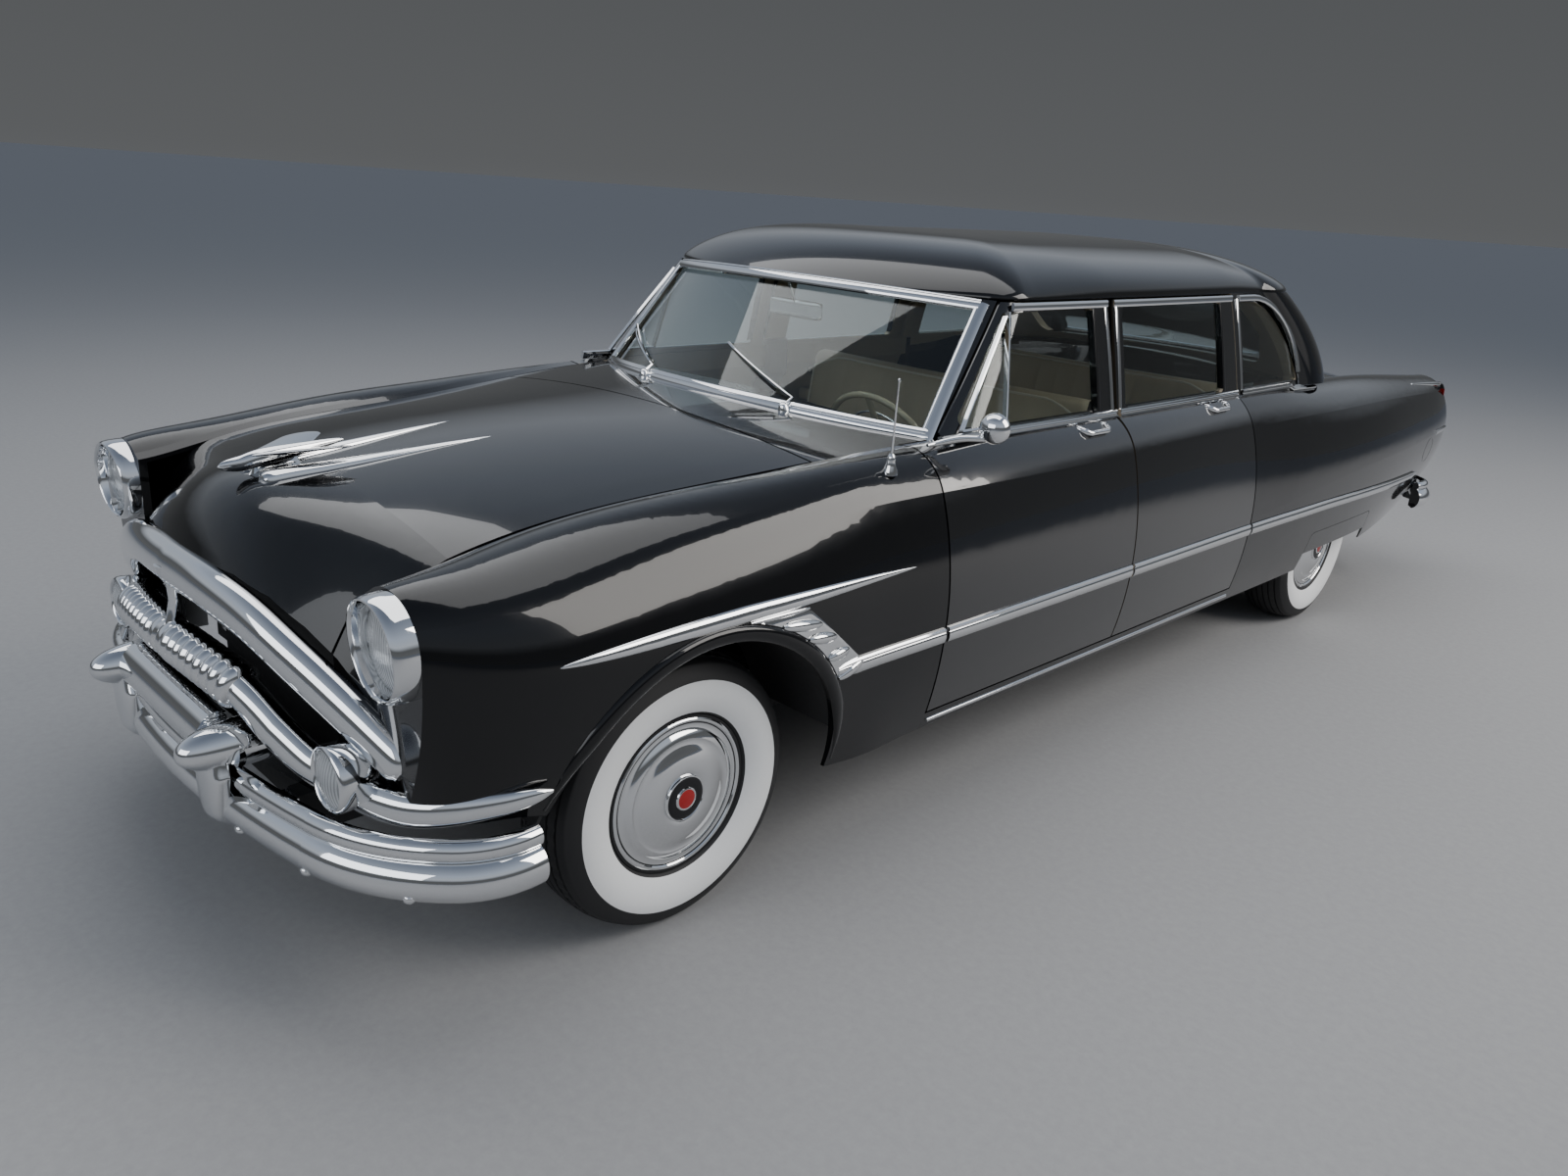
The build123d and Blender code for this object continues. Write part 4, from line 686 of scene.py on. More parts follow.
def gill_plate():
    """Bright plate behind the front wheel."""
    a, b, c, d = GILL_CORNERS
    rows = []
    for v in fractions(23):
        row = []
        for u in fractions(19):
            yz = clear_of_arch((a * (1 - u) + b * u) * (1 - v) + (d * (1 - u) + c * u) * v)
            inside = min(u, 1 - u, v, 1 - v) > 0.001
            row.append(on_side(yz.x, yz.y, 1.5 if inside else -1.0)[0])
        rows.append(row)
    pair("gill_plate_left", *rows_to_mesh(rows), chrome, "body")


def gill_ribs():
    """Five leaf-shaped ribs across the plate; the first is slim."""
    a, b, c, d = GILL_CORNERS
    for k, t in enumerate(GILL_RIBS):
        start = clear_of_arch(a.lerp(d, min(1, t * 1.05 + 0.02)))
        end = start.lerp(b.lerp(c, min(1, t * 0.98)), 0.98 if k in (0, 4) else 0.86)
        points, scale = [], []
        for f in fractions(20):
            yz = start.lerp(end, f)
            points.append(on_side(yz.x, yz.y, 2.0))
            scale.append(max(0.05, math.sin(math.pi * (0.02 + 0.96 * f)) ** 0.45))
        size = 7 if k == 0 else 15
        trim(f"gill_rib_{k}_left", points, half_round(size, 0.85 * size), "body", scale=scale)


def arch_lip():
    """Rounded flare round the front wheel opening."""
    points = []
    for t in fractions(70):
        angle = math.radians(ARCH_START - ARCH_SWEEP * t)
        y, z = Y_FRONT_AXLE + ARCH_RADIUS * math.cos(angle), ARCH_CENTRE.y + ARCH_RADIUS * math.sin(angle)
        p, n = on_side(y, z, -1.5)
        if p is not None and z >= Z_ARCH_FOOT:
            points.append((p, Vector((n.x, n.y * 0.2, n.z * 0.2))))
    scale = [max(0.25, min(1, math.sin(math.pi * t) * 2.4) ** 0.8) for t in fractions(len(points))]
    trim("arch_lip_left", points, half_round(20, 12), "body", paint, scale=scale)


gill_plate()
gill_ribs()
arch_lip()


# Greenhouse surfaces by formula, as the panels are cut: places at three heights, joined by parabolas
Z_LEVELS = (1070.0, 1300.0, 1496.0)
LEVEL_COLUMNS = {
    "y_front": (-1422, -1210, -1024), "x_a": (750, 712, 678), "y_a": (-1200, -1025, -870),
    "x_side": (841, 792, 745), "y_side": (-1034, -889, -764), "x_mid": (847, 798, 751),
    "x_rear": (841, 790, 742), "y_rear": (1120, 962, 675),
    # Rear quarters and back window, fuller than the solids
    "full_y_rear": (1300, 1130, 850), "full_x_c": (665, 640, 600), "full_y_c": (1590, 1470, 1180),
    "full_y_back": (1640, 1560, 1260),
}
# Height, half width of the back window
WINDOW_HALF_WIDTH = ((1115, 560), (1160, 560), (1300, 600), (1445, 520), (1500, 520))
X_SHIELD_FOOT, X_SHIELD_HEAD = 742, 680
X_HEADER, Z_HEADER, HEADER_FALL = 676, 1489, 18
Z_PILLAR_FOOT, Z_PILLAR_HEAD = 1100, 1474
Z_BELT, Z_FRAME_BAND, Z_RIM = 1129, 1473, 1496
SPINE_ENDS, Z_SPINE = (-260, 560), 1647
QUARTER_ARC_CENTRE, QUARTER_ARC_LONG, QUARTER_ARC_HIGH = (770, 1140), 400, 333
SURROUND_SECTION = [(-19, -3), (-19, 4), (-14, 8), (-3, 10.5), (6, 9), (8, 6.5), (10, 8), (16, 6.5), (19, 3),
                    (19, -3)]
SILL_SECTION = [(-17, -6), (-17, 5), (-11, 9), (-2, 9), (0, 6), (2, 8), (11, 8), (17, 4), (17, -6)]
BAND_SECTION = [(-12, -3), (-12, 3), (-7, 6), (6, 7), (10, 5), (12, 2), (12, -3)]
BELT_SECTION = [(-13, -6), (-13, 6), (-10, 9), (-4, 9), (-2, 6), (0, 6), (3, 11), (8, 11), (12, 7), (13, 3),
                (13, -6)]
WINDOW_SECTION = [(-10, -6), (-10, 2), (-4, 6), (4, 6), (10, 2), (10, -6)]


def level(column, z):
    a, b, c = Z_LEVELS
    p, q, r = LEVEL_COLUMNS[column]
    return (p * (z - b) * (z - c) / ((a - b) * (a - c)) + q * (z - a) * (z - c) / ((b - a) * (b - c))
            + r * (z - a) * (z - b) / ((c - a) * (c - b)))


def arc_radius(half, drop):
    """Radius of the plan arc with this half width and depth."""
    return (half * half + drop * drop) / (2 * drop)


def shield_point(x, z, lift=0.0):
    """Point on the windshield side of the greenhouse, pushed outward by the lift."""
    y0 = level("y_front", z)
    radius = arc_radius(level("x_a", z), level("y_a", z) - y0)
    y = y0 + radius - math.sqrt(max(radius * radius - x * x, 1.0))
    out = Vector((x / radius, -1.0, 0.85)).normalized()
    return Vector((x, y, z)) + out * lift, out


def flank_point(y, z, lift=0.0):
    """Point on the side of the greenhouse."""
    y0, y1 = level("y_side", z), level("y_rear", z)
    x0, xm, x1 = level("x_side", z), level("x_mid", z), level("x_rear", z)
    t = min(1.0, max(0.0, (y - y0) / (y1 - y0)))
    x = x0 * (1 - t) * (1 - 2 * t) + xm * 4 * t * (1 - t) + x1 * t * (2 * t - 1)
    out = Vector((1.0, 0.0, 0.22)).normalized()
    return Vector((x, y, z)) + out * lift, out


def back_curve(x, z, inset=0.0):
    """Point on the back of the greenhouse, moved forward by the inset."""
    y0 = level("full_y_back", z)
    radius = arc_radius(level("full_x_c", z), y0 - level("full_y_c", z))
    return Vector((x, y0 - inset - radius + math.sqrt(radius * radius - x * x), z))


def quarter_arc(z):
    """Where the quarter window's arc lies at this height, along Y."""
    y, foot = QUARTER_ARC_CENTRE
    return y + QUARTER_ARC_LONG * math.sqrt(max(0.0, 1 - (z - foot) ** 2 / QUARTER_ARC_HIGH ** 2))


def crown_height(x, y):
    """Height of the cowl's crowned top."""
    rows = ((-1700, 705, 1084, 1133), (-1300, 755, 1112, 1146), (-800, 785, 1124, 1150))
    for a, b in zip(rows, rows[1:]):
        if y <= b[0]:
            break
    t = (y - a[0]) / (b[0] - a[0])
    xc, zc, zm = (a[i] + (b[i] - a[i]) * t for i in (1, 2, 3))
    return zm - (zm - zc) * (x / xc) ** 2


def steps_along(y0, y1, step=30.0):
    """Places from one end to the other, about a step apart."""
    count = max(2, int(abs(y1 - y0) / step) + 1)
    return [y0 + (y1 - y0) * t for t in fractions(count)]


def between(rows, value):
    """Straight-line value from a table of (place, value) rows."""
    for a, b in zip(rows, rows[1:]):
        if value <= b[0]:
            break
    t = min(1.0, max(0.0, (value - a[0]) / (b[0] - a[0])))
    return a[1] + (b[1] - a[1]) * t


def tangent_arc(start, tangent, end, count):
    """Plan arc that leaves the start along the tangent and reaches the end: points and last tangent."""
    start, end = Vector(start), Vector(end)
    tangent = Vector(tangent).normalized()
    across = Vector((-tangent.y, tangent.x))
    chord = end - start
    centre = start + across / (2 * chord.dot(across) / chord.length_squared)
    first = start - centre
    sweep = first.angle_signed(end - centre)
    points = [centre + Matrix.Rotation(-sweep * i / count, 2) @ first for i in range(count + 1)]
    return points, Matrix.Rotation(-sweep, 2) @ tangent


def shield_trim():
    """Header, pillars and sill of the windshield."""
    header = [shield_point(X_HEADER * i / 20, Z_HEADER - HEADER_FALL * (i / 20) ** 2) for i in range(-20, 21)]
    trim("shield_header", header, SURROUND_SECTION, "body", mirror=False)
    pillar = [shield_point(X_SHIELD_FOOT + (X_SHIELD_HEAD - X_SHIELD_FOOT) * t,
                           Z_PILLAR_FOOT + (Z_PILLAR_HEAD - Z_PILLAR_FOOT) * t) for t in fractions(17)]
    trim("shield_pillar_left", pillar, [(a * 1.05, o) for a, o in SURROUND_SECTION], "body")
    sill = []
    for i in range(-22, 23):
        x = X_SHIELD_FOOT * i / 22
        z = 1130.0
        for _ in range(6):
            z = crown_height(x, shield_point(x, z)[0].y)
        sill.append(shield_point(x, z + 6, 2))
    trim("shield_sill", sill, SILL_SECTION, "body", mirror=False)


def belts():
    """Bands over the door glass and the belt moulding below it."""
    for name, y0, y1 in (("front", -838, -322), ("rear", -284, 578)):
        points = [flank_point(y, Z_FRAME_BAND) for y in steps_along(y0, y1)]
        trim(f"frame_band_{name}_left", points, BAND_SECTION, f"door_{name}_left")
    for name, y0, y1 in (("front", -1225, -306), ("rear", -284, 584)):
        out = Vector((1, 0, 0.35)).normalized()
        points = [(flank_point(y, Z_BELT, 4)[0], out) for y in steps_along(y0, y1)]
        trim(f"belt_{name}_left", points, BELT_SECTION, f"door_{name}_left")
    quarter = []
    for y in steps_along(620, 1372):
        p, out = flank_point(min(y, 1080), Z_BELT, 4)
        if y > 1080:
            p = on_top(830 - 0.06 * (y - 1080), y, 6)[0]
            out = Vector((0.75, 0, 0.65))
        quarter.append((p, out))
    trim("belt_quarter_left", quarter, BELT_SECTION, "body")


shield_trim()
belts()

# Heights of the rows above, beside and below the back window
HIGH = [1501, 1493, 1482, 1470, 1457, 1445]
MIDDLE = [1445 - 15 * i for i in range(1, 19)]
LOW = [1160, 1147, 1134, 1118]
WINDOW_STEPS = 32
REVEAL_INSETS = (0, 12, 40)


def rear_row(z):
    """Side, corner and back of the rear quarter at one height, as far as the back window's side."""
    y_rear, xc, yc = (level(c, z) for c in ("full_y_rear", "full_x_c", "full_y_c"))
    start = 640.0 if z >= Z_FRAME_BAND else quarter_arc(max(z, QUARTER_ARC_CENTRE[1])) + 6
    y0 = min(start, y_rear - 30)
    side = [flank_point(y0 + (y_rear - y0) * i / 10, z)[0] for i in range(10)]
    ahead = (back_curve(xc, z) - back_curve(xc - 4, z)).to_2d()
    corner, _ = tangent_arc((xc, yc), ahead, (level("x_rear", z), y_rear), 18)
    half = between(WINDOW_HALF_WIDTH, z)
    back = [back_curve(xc + (half - xc) * i / 5, z) for i in range(1, 6)]
    return side + [Vector((p.x, p.y, z)) for p in reversed(corner)] + back


def window_row(z, ends=False):
    """Places (x, z) across the back window at one height, with or without its two sides."""
    half = between(WINDOW_HALF_WIDTH, z)
    steps = range(WINDOW_STEPS + 1) if ends else range(1, WINDOW_STEPS)
    return [(half - 2 * half * i / WINDOW_STEPS, z) for i in steps]


def rear_skin():
    """Rear quarters of the roof, the strips over and under the back window, its reveal and its trim."""
    left = rows_to_mesh([rear_row(z) for z in HIGH + MIDDLE + LOW])
    strips = [rows_to_mesh([[back_curve(x, row_z) for x, row_z in window_row(z, ends=True)] for z in levels])
              for levels in (HIGH, LOW)]
    side = [(between(WINDOW_HALF_WIDTH, z), z) for z in HIGH[-1:] + MIDDLE + LOW[:1]]
    loop = side + window_row(LOW[0]) + [(-x, z) for x, z in reversed(side)]
    loop += [(-x, z) for x, z in window_row(HIGH[-1])]
    reveal = rows_to_mesh([[back_curve(x, z, inset) for x, z in loop] for inset in REVEAL_INSETS],
                          closed_rows=True)
    v, f = joined([left, flipped(*left), *strips, reveal])
    welded(make_object("rear_roof_skin", v, f, paint, "body", sharp=50))
    edge = [(back_curve(x, z), Vector((x / 1500, 1, 0.6)).normalized()) for x, z in loop + loop[:1]]
    trim("back_window_trim", edge, WINDOW_SECTION, "body", mirror=False)


def roof_ring(count=24):
    """Plan outline of the roof's rim, once round from the middle of the windshield header."""
    y_side, x_corner, y_corner = -773, 683, -877
    front, turn = tangent_arc((0, -1030), (1, 0), (x_corner, y_corner), count)
    corner, _ = tangent_arc((x_corner, y_corner), turn, (752, y_side), 10)
    y_rear, xc, yc, y_back = (level(c, Z_RIM) for c in ("full_y_rear", "full_x_c", "full_y_c", "full_y_back"))
    side = [Vector((flank_point(y, Z_RIM)[0].x + 6, y))
            for y in [y_side + (y_rear - y_side) * i / 40 for i in range(1, 41)]]
    back, turn = tangent_arc((0, y_back + 2), (1, 0), (xc + 2, yc + 2), count)
    rear, _ = tangent_arc((xc + 2, yc + 2), turn, (side[-1].x, y_rear), 20)
    half = front + corner[1:] + side + list(reversed(rear))[1:] + list(reversed(back))[1:]
    return half + [Vector((-p.x, p.y)) for p in reversed(half[1:-1])]


def dome(p, f, drop=0.0, shrink=0.0):
    """Point a share of the way from the rim to the spine, on the crowned roof or its lining."""
    y0 = min(max(p.y, SPINE_ENDS[0]), SPINE_ENDS[1])
    p = p + Vector((-p.x, y0 - p.y)).normalized() * shrink
    to_spine = Vector((-p.x, y0 - p.y))
    q = p + to_spine * f
    lean = max(-1.0, min(1.0, (p.y - y0) / max(to_spine.length, 1.0)))
    flow = lean * lean * (3 - 2 * abs(lean))
    shoulder = math.sqrt(max(0.0, 1 - (1 - f) ** 3))
    slope = 1 - (1 - f) ** (3.1 if lean > 0 else 4.6)
    rise = shoulder * (1 - flow) + slope * flow
    return Vector((q.x, q.y, Z_RIM + (Z_SPINE - Z_RIM - drop) * rise))


def roof_skin():
    """Crowned roof with a rolled rim, and a cloth lining under it."""
    ring, steps, lining_steps, rim_width, rim_drop = roof_ring(), 28, 16, 26, Vector((0, 0, -5))
    rows = [[dome(p, t ** 1.7) for p in ring] for t in reversed(fractions(steps + 1))]
    rows.append([dome(p, 0) + rim_drop for p in ring])
    rows.append([dome(p, 0, 0, rim_width) + rim_drop for p in ring])
    first_lining = len(rows) - 1
    rows += [[dome(p, t ** 1.7, rim_width, rim_width) for p in ring] for t in fractions(lining_steps + 1)]
    v, f = rows_to_mesh(rows, closed_rows=True)
    slots = [1 if min(face) // len(ring) >= first_lining else 0 for face in f]
    welded(make_object("roof_skin", v, f, paint, "body", materials=[paint, cloth], face_slots=slots, sharp=60,
                       replaces=["roof_panel"]))


def slab(front, back):
    """Closed pane between two grids of the same size."""
    edges = [grid[0] + [row[-1] for row in grid[1:]] + grid[-1][-2::-1] + [row[0] for row in grid[-2:0:-1]]
             for grid in (back, front)]
    return joined([rows_to_mesh(front), rows_to_mesh(back[::-1]), rows_to_mesh(edges, closed_rows=True)])


def panes():
    """Windshield, quarter windows and back window."""
    def pane(point, heights, ends, count, depths):
        """Pane between the two ends at each height, at two depths."""
        grids = []
        for depth in depths:
            grid = []
            for z in heights:
                first, last = ends(z)
                grid.append([point(first + (last - first) * k / count, z, depth) for k in range(count + 1)])
            grids.append(grid)
        return slab(*grids)

    def shield_ends(z):
        half = 738 - 64 * (z - 1085) / 385
        return -half, half

    def back_ends(z):
        half = between(WINDOW_HALF_WIDTH, z) - 3
        return -half, half
    shield = pane(lambda x, z, lift: shield_point(x, z, lift)[0], [1086 + 402 * t for t in fractions(15)],
                  shield_ends, 30, (-12, -17))
    rear = pane(back_curve, [1164 + 277 * i / 12 for i in range(13)], back_ends, 24, (14, 19))
    left = pane(lambda y, z, lift: flank_point(y, z, lift)[0], [1140 + 318 * i / 14 for i in range(15)],
                lambda z: (646, quarter_arc(z) - 6), 12, (-12, -17))
    make_object("fixed_panes", *joined([shield, rear, left, flipped(*left)]), glass, "body", sharp=30,
                replaces=["fixed_glass"])


rear_skin()
roof_skin()
panes()


# Lamps; profiles are (forward, radius) points
LAMP = (767.0, -2808.0, 876.0)
POD = (640.0, -2892, 562.0)
FORWARD = (0, -1, 0)
BEZEL = [(0.5, 91.2), (12, 91.2), (30, 95.5), (38, 97), (44, 98.5), (46.5, 101), (46, 104.5), (41, 108),
         (30, 111), (14, 112.6), (0.5, 113)]
LAMP_GLASS = [(25 - 17 * (r / 90) ** 2, r) for r in (0, 12, 26, 40, 54, 66, 76, 84, 90)] + [(2, 90)]
BOWL = [(-36, 0)] + [(-36 + 36 * (r / 88) ** 2, r) for r in (14, 28, 42, 56, 70, 80, 88)]
BULB = [(-34, 11), (-14, 12), (-4, 9), (0, 0)]
POD_SHELL = [(-118, 0), (-116, 24), (-96, 48), (-66, 65), (-34, 73), (-6, 75), (5, 73.5), (11, 69.5),
             (12.5, 65), (10, 61.5), (5, 60), (1, 60)]
POD_GLASS = [(20 - 16 * (r / 60.5) ** 2, r) for r in (0, 10, 20, 30, 40, 50, 60.5)]
POD_BACK = [(1.5, 0), (1.5, 30), (1.8, 59)]


def headlamp():
    """Bezel whose rim leans over the glass, the fluted glass, the bowl and the bulb."""
    x_lamp, y_lamp, z_lamp = LAMP
    v, f = turned(BEZEL, LAMP, FORWARD, 96)
    bent = []
    for p in v:
        hood = 0.16 * (y_lamp - p[1]) * ((p[2] - z_lamp) / 105.0 + 0.6 * (p[0] - x_lamp) / 105.0)
        bent.append((p[0], p[1] - max(-7.0, min(7.0, hood)), p[2]))
    pair("bezel_left", bent, f, chrome, "body", replaces=["headlamp_bezels"])
    pair("headlamp_glass_left", *turned(LAMP_GLASS, LAMP, FORWARD, 72), lens, "body",
         replaces=["headlamp_lenses"])
    pair("headlamp_bowl_left", *turned(BOWL, LAMP, FORWARD, 60), reflector, "body")
    pair("headlamp_bulb_left", *turned(BULB, LAMP, FORWARD, 24), satin, "body")


def parking_lamp():
    pair("pod_shell_left", *turned(POD_SHELL, POD, FORWARD, 80), chrome, "body", replaces=["parking_lamps"])
    pair("pod_lens_left", *turned(POD_GLASS, POD, FORWARD, 64), lens, "body")
    pair("pod_reflector_left", *turned(POD_BACK, POD, FORWARD, 48), reflector, "body")


headlamp()
parking_lamp()

# Ornament on the hood: a plain winged dart and two long chrome sweeps
Y_DART, DART_LENGTH, DART_LIFT = -2832, 300, 30
Y_WING, WING_CHORD, WING_SPAN, WING_RISE = -2700, 72, 92, 22


def dart_body():
    rows = []
    for f in fractions(33):
        y = Y_DART + DART_LENGTH * f
        z = on_top(0, max(y, -2780))[0].z + DART_LIFT + 10 * f
        fullness = (1 - (1 - min(1, f / 0.34)) ** 2) ** 0.5 * (1 - max(0, f - 0.34) / 0.66) ** 0.6
        w, h = 2 + 15 * fullness, 2 + 19 * fullness
        rows.append([(w * c, y, z + h * s) for c, s in ellipse()])
    return rows_to_mesh(rows, closed_rows=True, caps=True)


def dart_wing(sign):
    root = on_top(0, -2690)[0].z + 36
    rows = []
    for f in fractions(25):
        round_tip = (1 - max(0, f - 0.8) ** 2 / 0.04) ** 0.5
        y_mid, half = Y_WING + 120 * f, (WING_CHORD - 28 * f) * max(0.12, round_tip)
        thick = (6.5 - 3.5 * f) * max(0.2, round_tip)
        x, z = sign * (4 + WING_SPAN * f), root + WING_RISE * f
        row = [(x, y_mid - half * c, z + thick * s) for c, s in ellipse()]
        rows.append(row if sign > 0 else row[::-1])
    return rows_to_mesh(rows, closed_rows=True, caps=True)


def dart_stand():
    rows = []
    for f, grow in ((0.0, 1.0), (0.5, 0.85), (1.0, 0.8)):
        places = [(8 * grow * s, Y_WING + 66 * grow * c) for c, s in ellipse()]
        rows.append([(x, y, on_top(x, y)[0].z - 2 + f * DART_LIFT) for x, y in places])
    return rows_to_mesh(rows, closed_rows=True, caps=True)


def ornament():
    v, f = joined([dart_body(), dart_wing(1), dart_wing(-1), dart_stand()])
    make_object("hood_dart", v, f, chrome, "hood", sharp=50, replaces=["hood_ornament"])
    points, sizes = [], []
    for f in fractions(61):
        points.append(on_top(64 + 46 * f ** 1.2, -2768 + 596 * f, -2))
        blunt = min(1, f / 0.045)
        sizes.append((1 - (1 - blunt) ** 2) ** 0.5 * (1 - f) ** 0.75 + 0.05)
    trim("hood_sweep_left", points, half_round(24, 21), "hood", scale=sizes)


ornament()


# Small fittings; profiles are (along the axis, radius) points
BUTTON = [(0, 13), (8, 13), (10, 10), (10, 0)]
MIRROR_SHELL = [(-26, 0), (-25, 10), (-20, 24), (-11, 35), (0, 41), (10, 43), (15, 43.5), (17, 42), (15, 40)]
ANTENNA_FOOT = [(-5, 21), (6, 19), (18, 14), (30, 11), (38, 12), (46, 8), (50, 4.5)]
ANTENNA_BALL = [(0, 0), (2, 3.5), (6, 4.5), (10, 3.5), (12, 0)]
WIPER_CAP = [(-6, 20), (2, 19), (10, 15), (18, 13), (22, 8), (23, 0)]
WIPER_BLADE = [(-3, 0), (-5, 9), (-3, 13), (3, 13), (5, 9), (3, 0)]


def cube_skin(count_a, count_b, count_c, place):
    """Grids over the six faces of a cube, each place (u, v, w) from -1 to 1 moved by the function."""
    counts = (count_a, count_b, count_c)
    parts = []
    for axis in (0, 1, 2):
        a, b = (axis + 1) % 3, (axis + 2) % 3
        for side in (-1, 1):
            grid = []
            for i in range(counts[a] + 1):
                row = []
                for j in range(counts[b] + 1):
                    uvw = [0, 0, 0]
                    uvw[axis], uvw[a], uvw[b] = side, -1 + 2 * i / counts[a], -1 + 2 * j / counts[b]
                    row.append(place(uvw))
                grid.append(row)
            parts.append(rows_to_mesh(grid[::-1] if side < 0 else grid))
    return joined(parts)


def pulled_in(uvw, half, edge):
    """Place on a box with rounded edges, from a place on the cube."""
    p = [a * h for a, h in zip(uvw, half)]
    q = [max(-(h - edge), min(h - edge, a)) for a, h in zip(p, half)]
    d = Vector([a - b for a, b in zip(p, q)])
    return Vector(q) + (d.normalized() * edge if d.length > 1e-6 else d)


def rounded_box(centre, size, radius, rows=4, turn=Matrix.Identity(3)):
    half = [s / 2 for s in size]
    return cube_skin(2 * rows, 2 * rows, 2 * rows,
                     lambda uvw: Vector(centre) + turn @ pulled_in(uvw, half, radius))


def door_pull(name, y0, y1):
    """Bowed pull under the belt, on two feet, with its push button."""
    loop = []
    for t in fractions(25):
        y = y0 + (y1 - y0) * t
        bow = min(1.0, math.sin(math.pi * t) * 2.2) ** 0.6
        x = max(flank_point(y, 1118)[0].x, on_side(y, 1082)[0].x - 40)
        loop.append((x + 10 + 34 * bow, y, 1104 - 10 * bow))
    grip = tube(loop, [8.5 if 0.1 < i / 24 < 0.9 else 11 for i in range(25)], 12)
    feet = [rounded_box((flank_point(y, 1112)[0].x + 8, y, 1102), (34, 26, 26), 9) for y in (y0 + 2, y1 - 2)]
    button = turned(BUTTON, (flank_point(y1 - 20, 1100)[0].x + 22, y1 - 22, 1084), (1, 0, 0.2), 24)
    pair(f"door_pull_{name}_left", *joined([grip, *feet, button]), chrome, f"door_{name}_left")


def mirror_piece():
    """Round chrome mirror on a stalk on the left front door."""
    centre, facing = Vector((950, -1150, 1178)), (-0.25, 1, 0.05)
    base = flank_point(-1236, 1128, 6)[0] + Vector((4, 0, 0))
    from_base, to_centre = ((0, -52, -2), (8, -14, 2), (50, 34, 18)), ((-6, 10, -28), (0, -14, -12))
    route = smooth_curve([base + Vector(p) for p in from_base] + [centre + Vector(p) for p in to_centre], 16)
    arm = tube(route, [3 + 7 * math.sin(math.pi * (0.1 + 0.72 * t)) * 0.85 for t in fractions(16)], 14)
    shell = turned(MIRROR_SHELL, centre, facing, 48)
    make_object("mirror_shell", *joined([arm, shell]), chrome, "door_front_left")
    face = turned([(14, 0), (14, 40.5)], centre, facing, 40)
    make_object("mirror_face", *face, mirror_glass, "door_front_left")


def antenna():
    """Mast on a stepped foot, with a small ball at its tip."""
    foot, line = on_top(866, -1469)[0], Vector((0.05, -0.05, 1))
    base = turned(ANTENNA_FOOT, foot, line, 32)
    mast = tube([foot + line * s for s in (45, 130, 236)], [3.2, 2.5, 2.1], 10)
    ball = turned(ANTENNA_BALL, foot + line * 234, line, 16)
    make_object("antenna", *joined([base, mast, ball]), chrome, "body")


def wiper(name, x_pivot, x_end, z_end):
    """Wiper arm and blade lying on the windshield, with its chrome pivot on the cowl."""
    z_start, blade_share = 1166, 0.46
    pivot = shield_point(x_pivot, 1150)[0]
    ground = Vector((pivot.x, pivot.y - 24, crown_height(pivot.x, pivot.y - 24)))
    cap = turned(WIPER_CAP, ground, (0, -0.25, 1), 32)
    path = [shield_point(x_pivot + (x_end - x_pivot) * t, z_start + (z_end - z_start) * t,
                         10 + 8 * math.sin(math.pi * t))[0] for t in fractions(12)]
    arm = tube([ground + Vector((0, 0, 16))] + path, 4, 8)
    x_mid, z_mid = (x_pivot + x_end * 2.6) / 3.6, (z_start + 2.6 * z_end) / 3.6
    places = [shield_point(x_mid + (x_end - x_pivot) * blade_share * (2 * t - 1),
                           z_mid + (z_end - z_start) * blade_share * (2 * t - 1), -6) for t in fractions(15)]
    blade = bar(places, WIPER_BLADE)
    make_object(name, *joined([cap, arm, blade]), chrome, "body")


door_pull("front", -545, -398)
door_pull("rear", 318, 462)
mirror_piece()
antenna()
wiper("wiper_left", 330, 20, 1262)
wiper("wiper_right", -330, -640, 1236)


# Vent window frame and post, and the chrome frame edges beside the openings
def opening_trim(name, corners, section, body, material=chrome):
    """Thin bright frame around an opening, by its (y, z) corners on the side of the greenhouse."""
    points = []
    for a, b in zip(corners, corners[1:]):
        steps = max(2, int(math.hypot(b[0] - a[0], b[1] - a[1]) / 25))
        points += [(a[0] + (b[0] - a[0]) * i / steps, a[1] + (b[1] - a[1]) * i / steps) for i in range(steps)]
    points.append(corners[-1])
    trim(name, [flank_point(y, z) for y, z in points], section, body, material)


SLIM = [(-4.5, -14), (-4.5, 2), (-2, 4), (2, 4), (4.5, 2), (4.5, -14)]
FINE = [(-3.2, -13), (-3.2, 0), (0, 1.6), (3.2, 0), (3.2, -13)]
POST = [(-9, -3), (-9, 4), (-4, 6), (4, 6), (9, 4), (9, -3)]
REVEAL = [(-9, -26), (-9, 0), (0, 2), (9, 0), (9, -26)]
FRONT_DOOR, REAR_DOOR = "door_front_left", "door_rear_left"
opening_trim("vent_post_left", [(-907, 1140), (-880, 1300), (-853, 1459)], SLIM, FRONT_DOOR)
opening_trim("vent_frame_left", [(-1112, 1146), (-1090, 1176), (-990, 1300), (-868, 1448)], FINE, FRONT_DOOR)
opening_trim("vent_foot_left", [(-1114, 1147), (-910, 1147)], FINE, FRONT_DOOR)
opening_trim("frame_post_front_left", [(-322, 1140), (-326, 1300), (-334, 1462)], POST, FRONT_DOOR)
opening_trim("frame_post_rear_left", [(-272, 1140), (-268, 1300), (-268, 1462)], POST, REAR_DOOR)
opening_trim("reveal_front_left", [(-398, 1146), (-398, 1458)], REVEAL, FRONT_DOOR, rim_black)
opening_trim("reveal_rear_left", [(488, 1146), (488, 1462)], REVEAL, REAR_DOOR, rim_black)
opening_trim("quarter_post_left", [(628, 1140), (626, 1300), (622, 1470)], POST, "body")
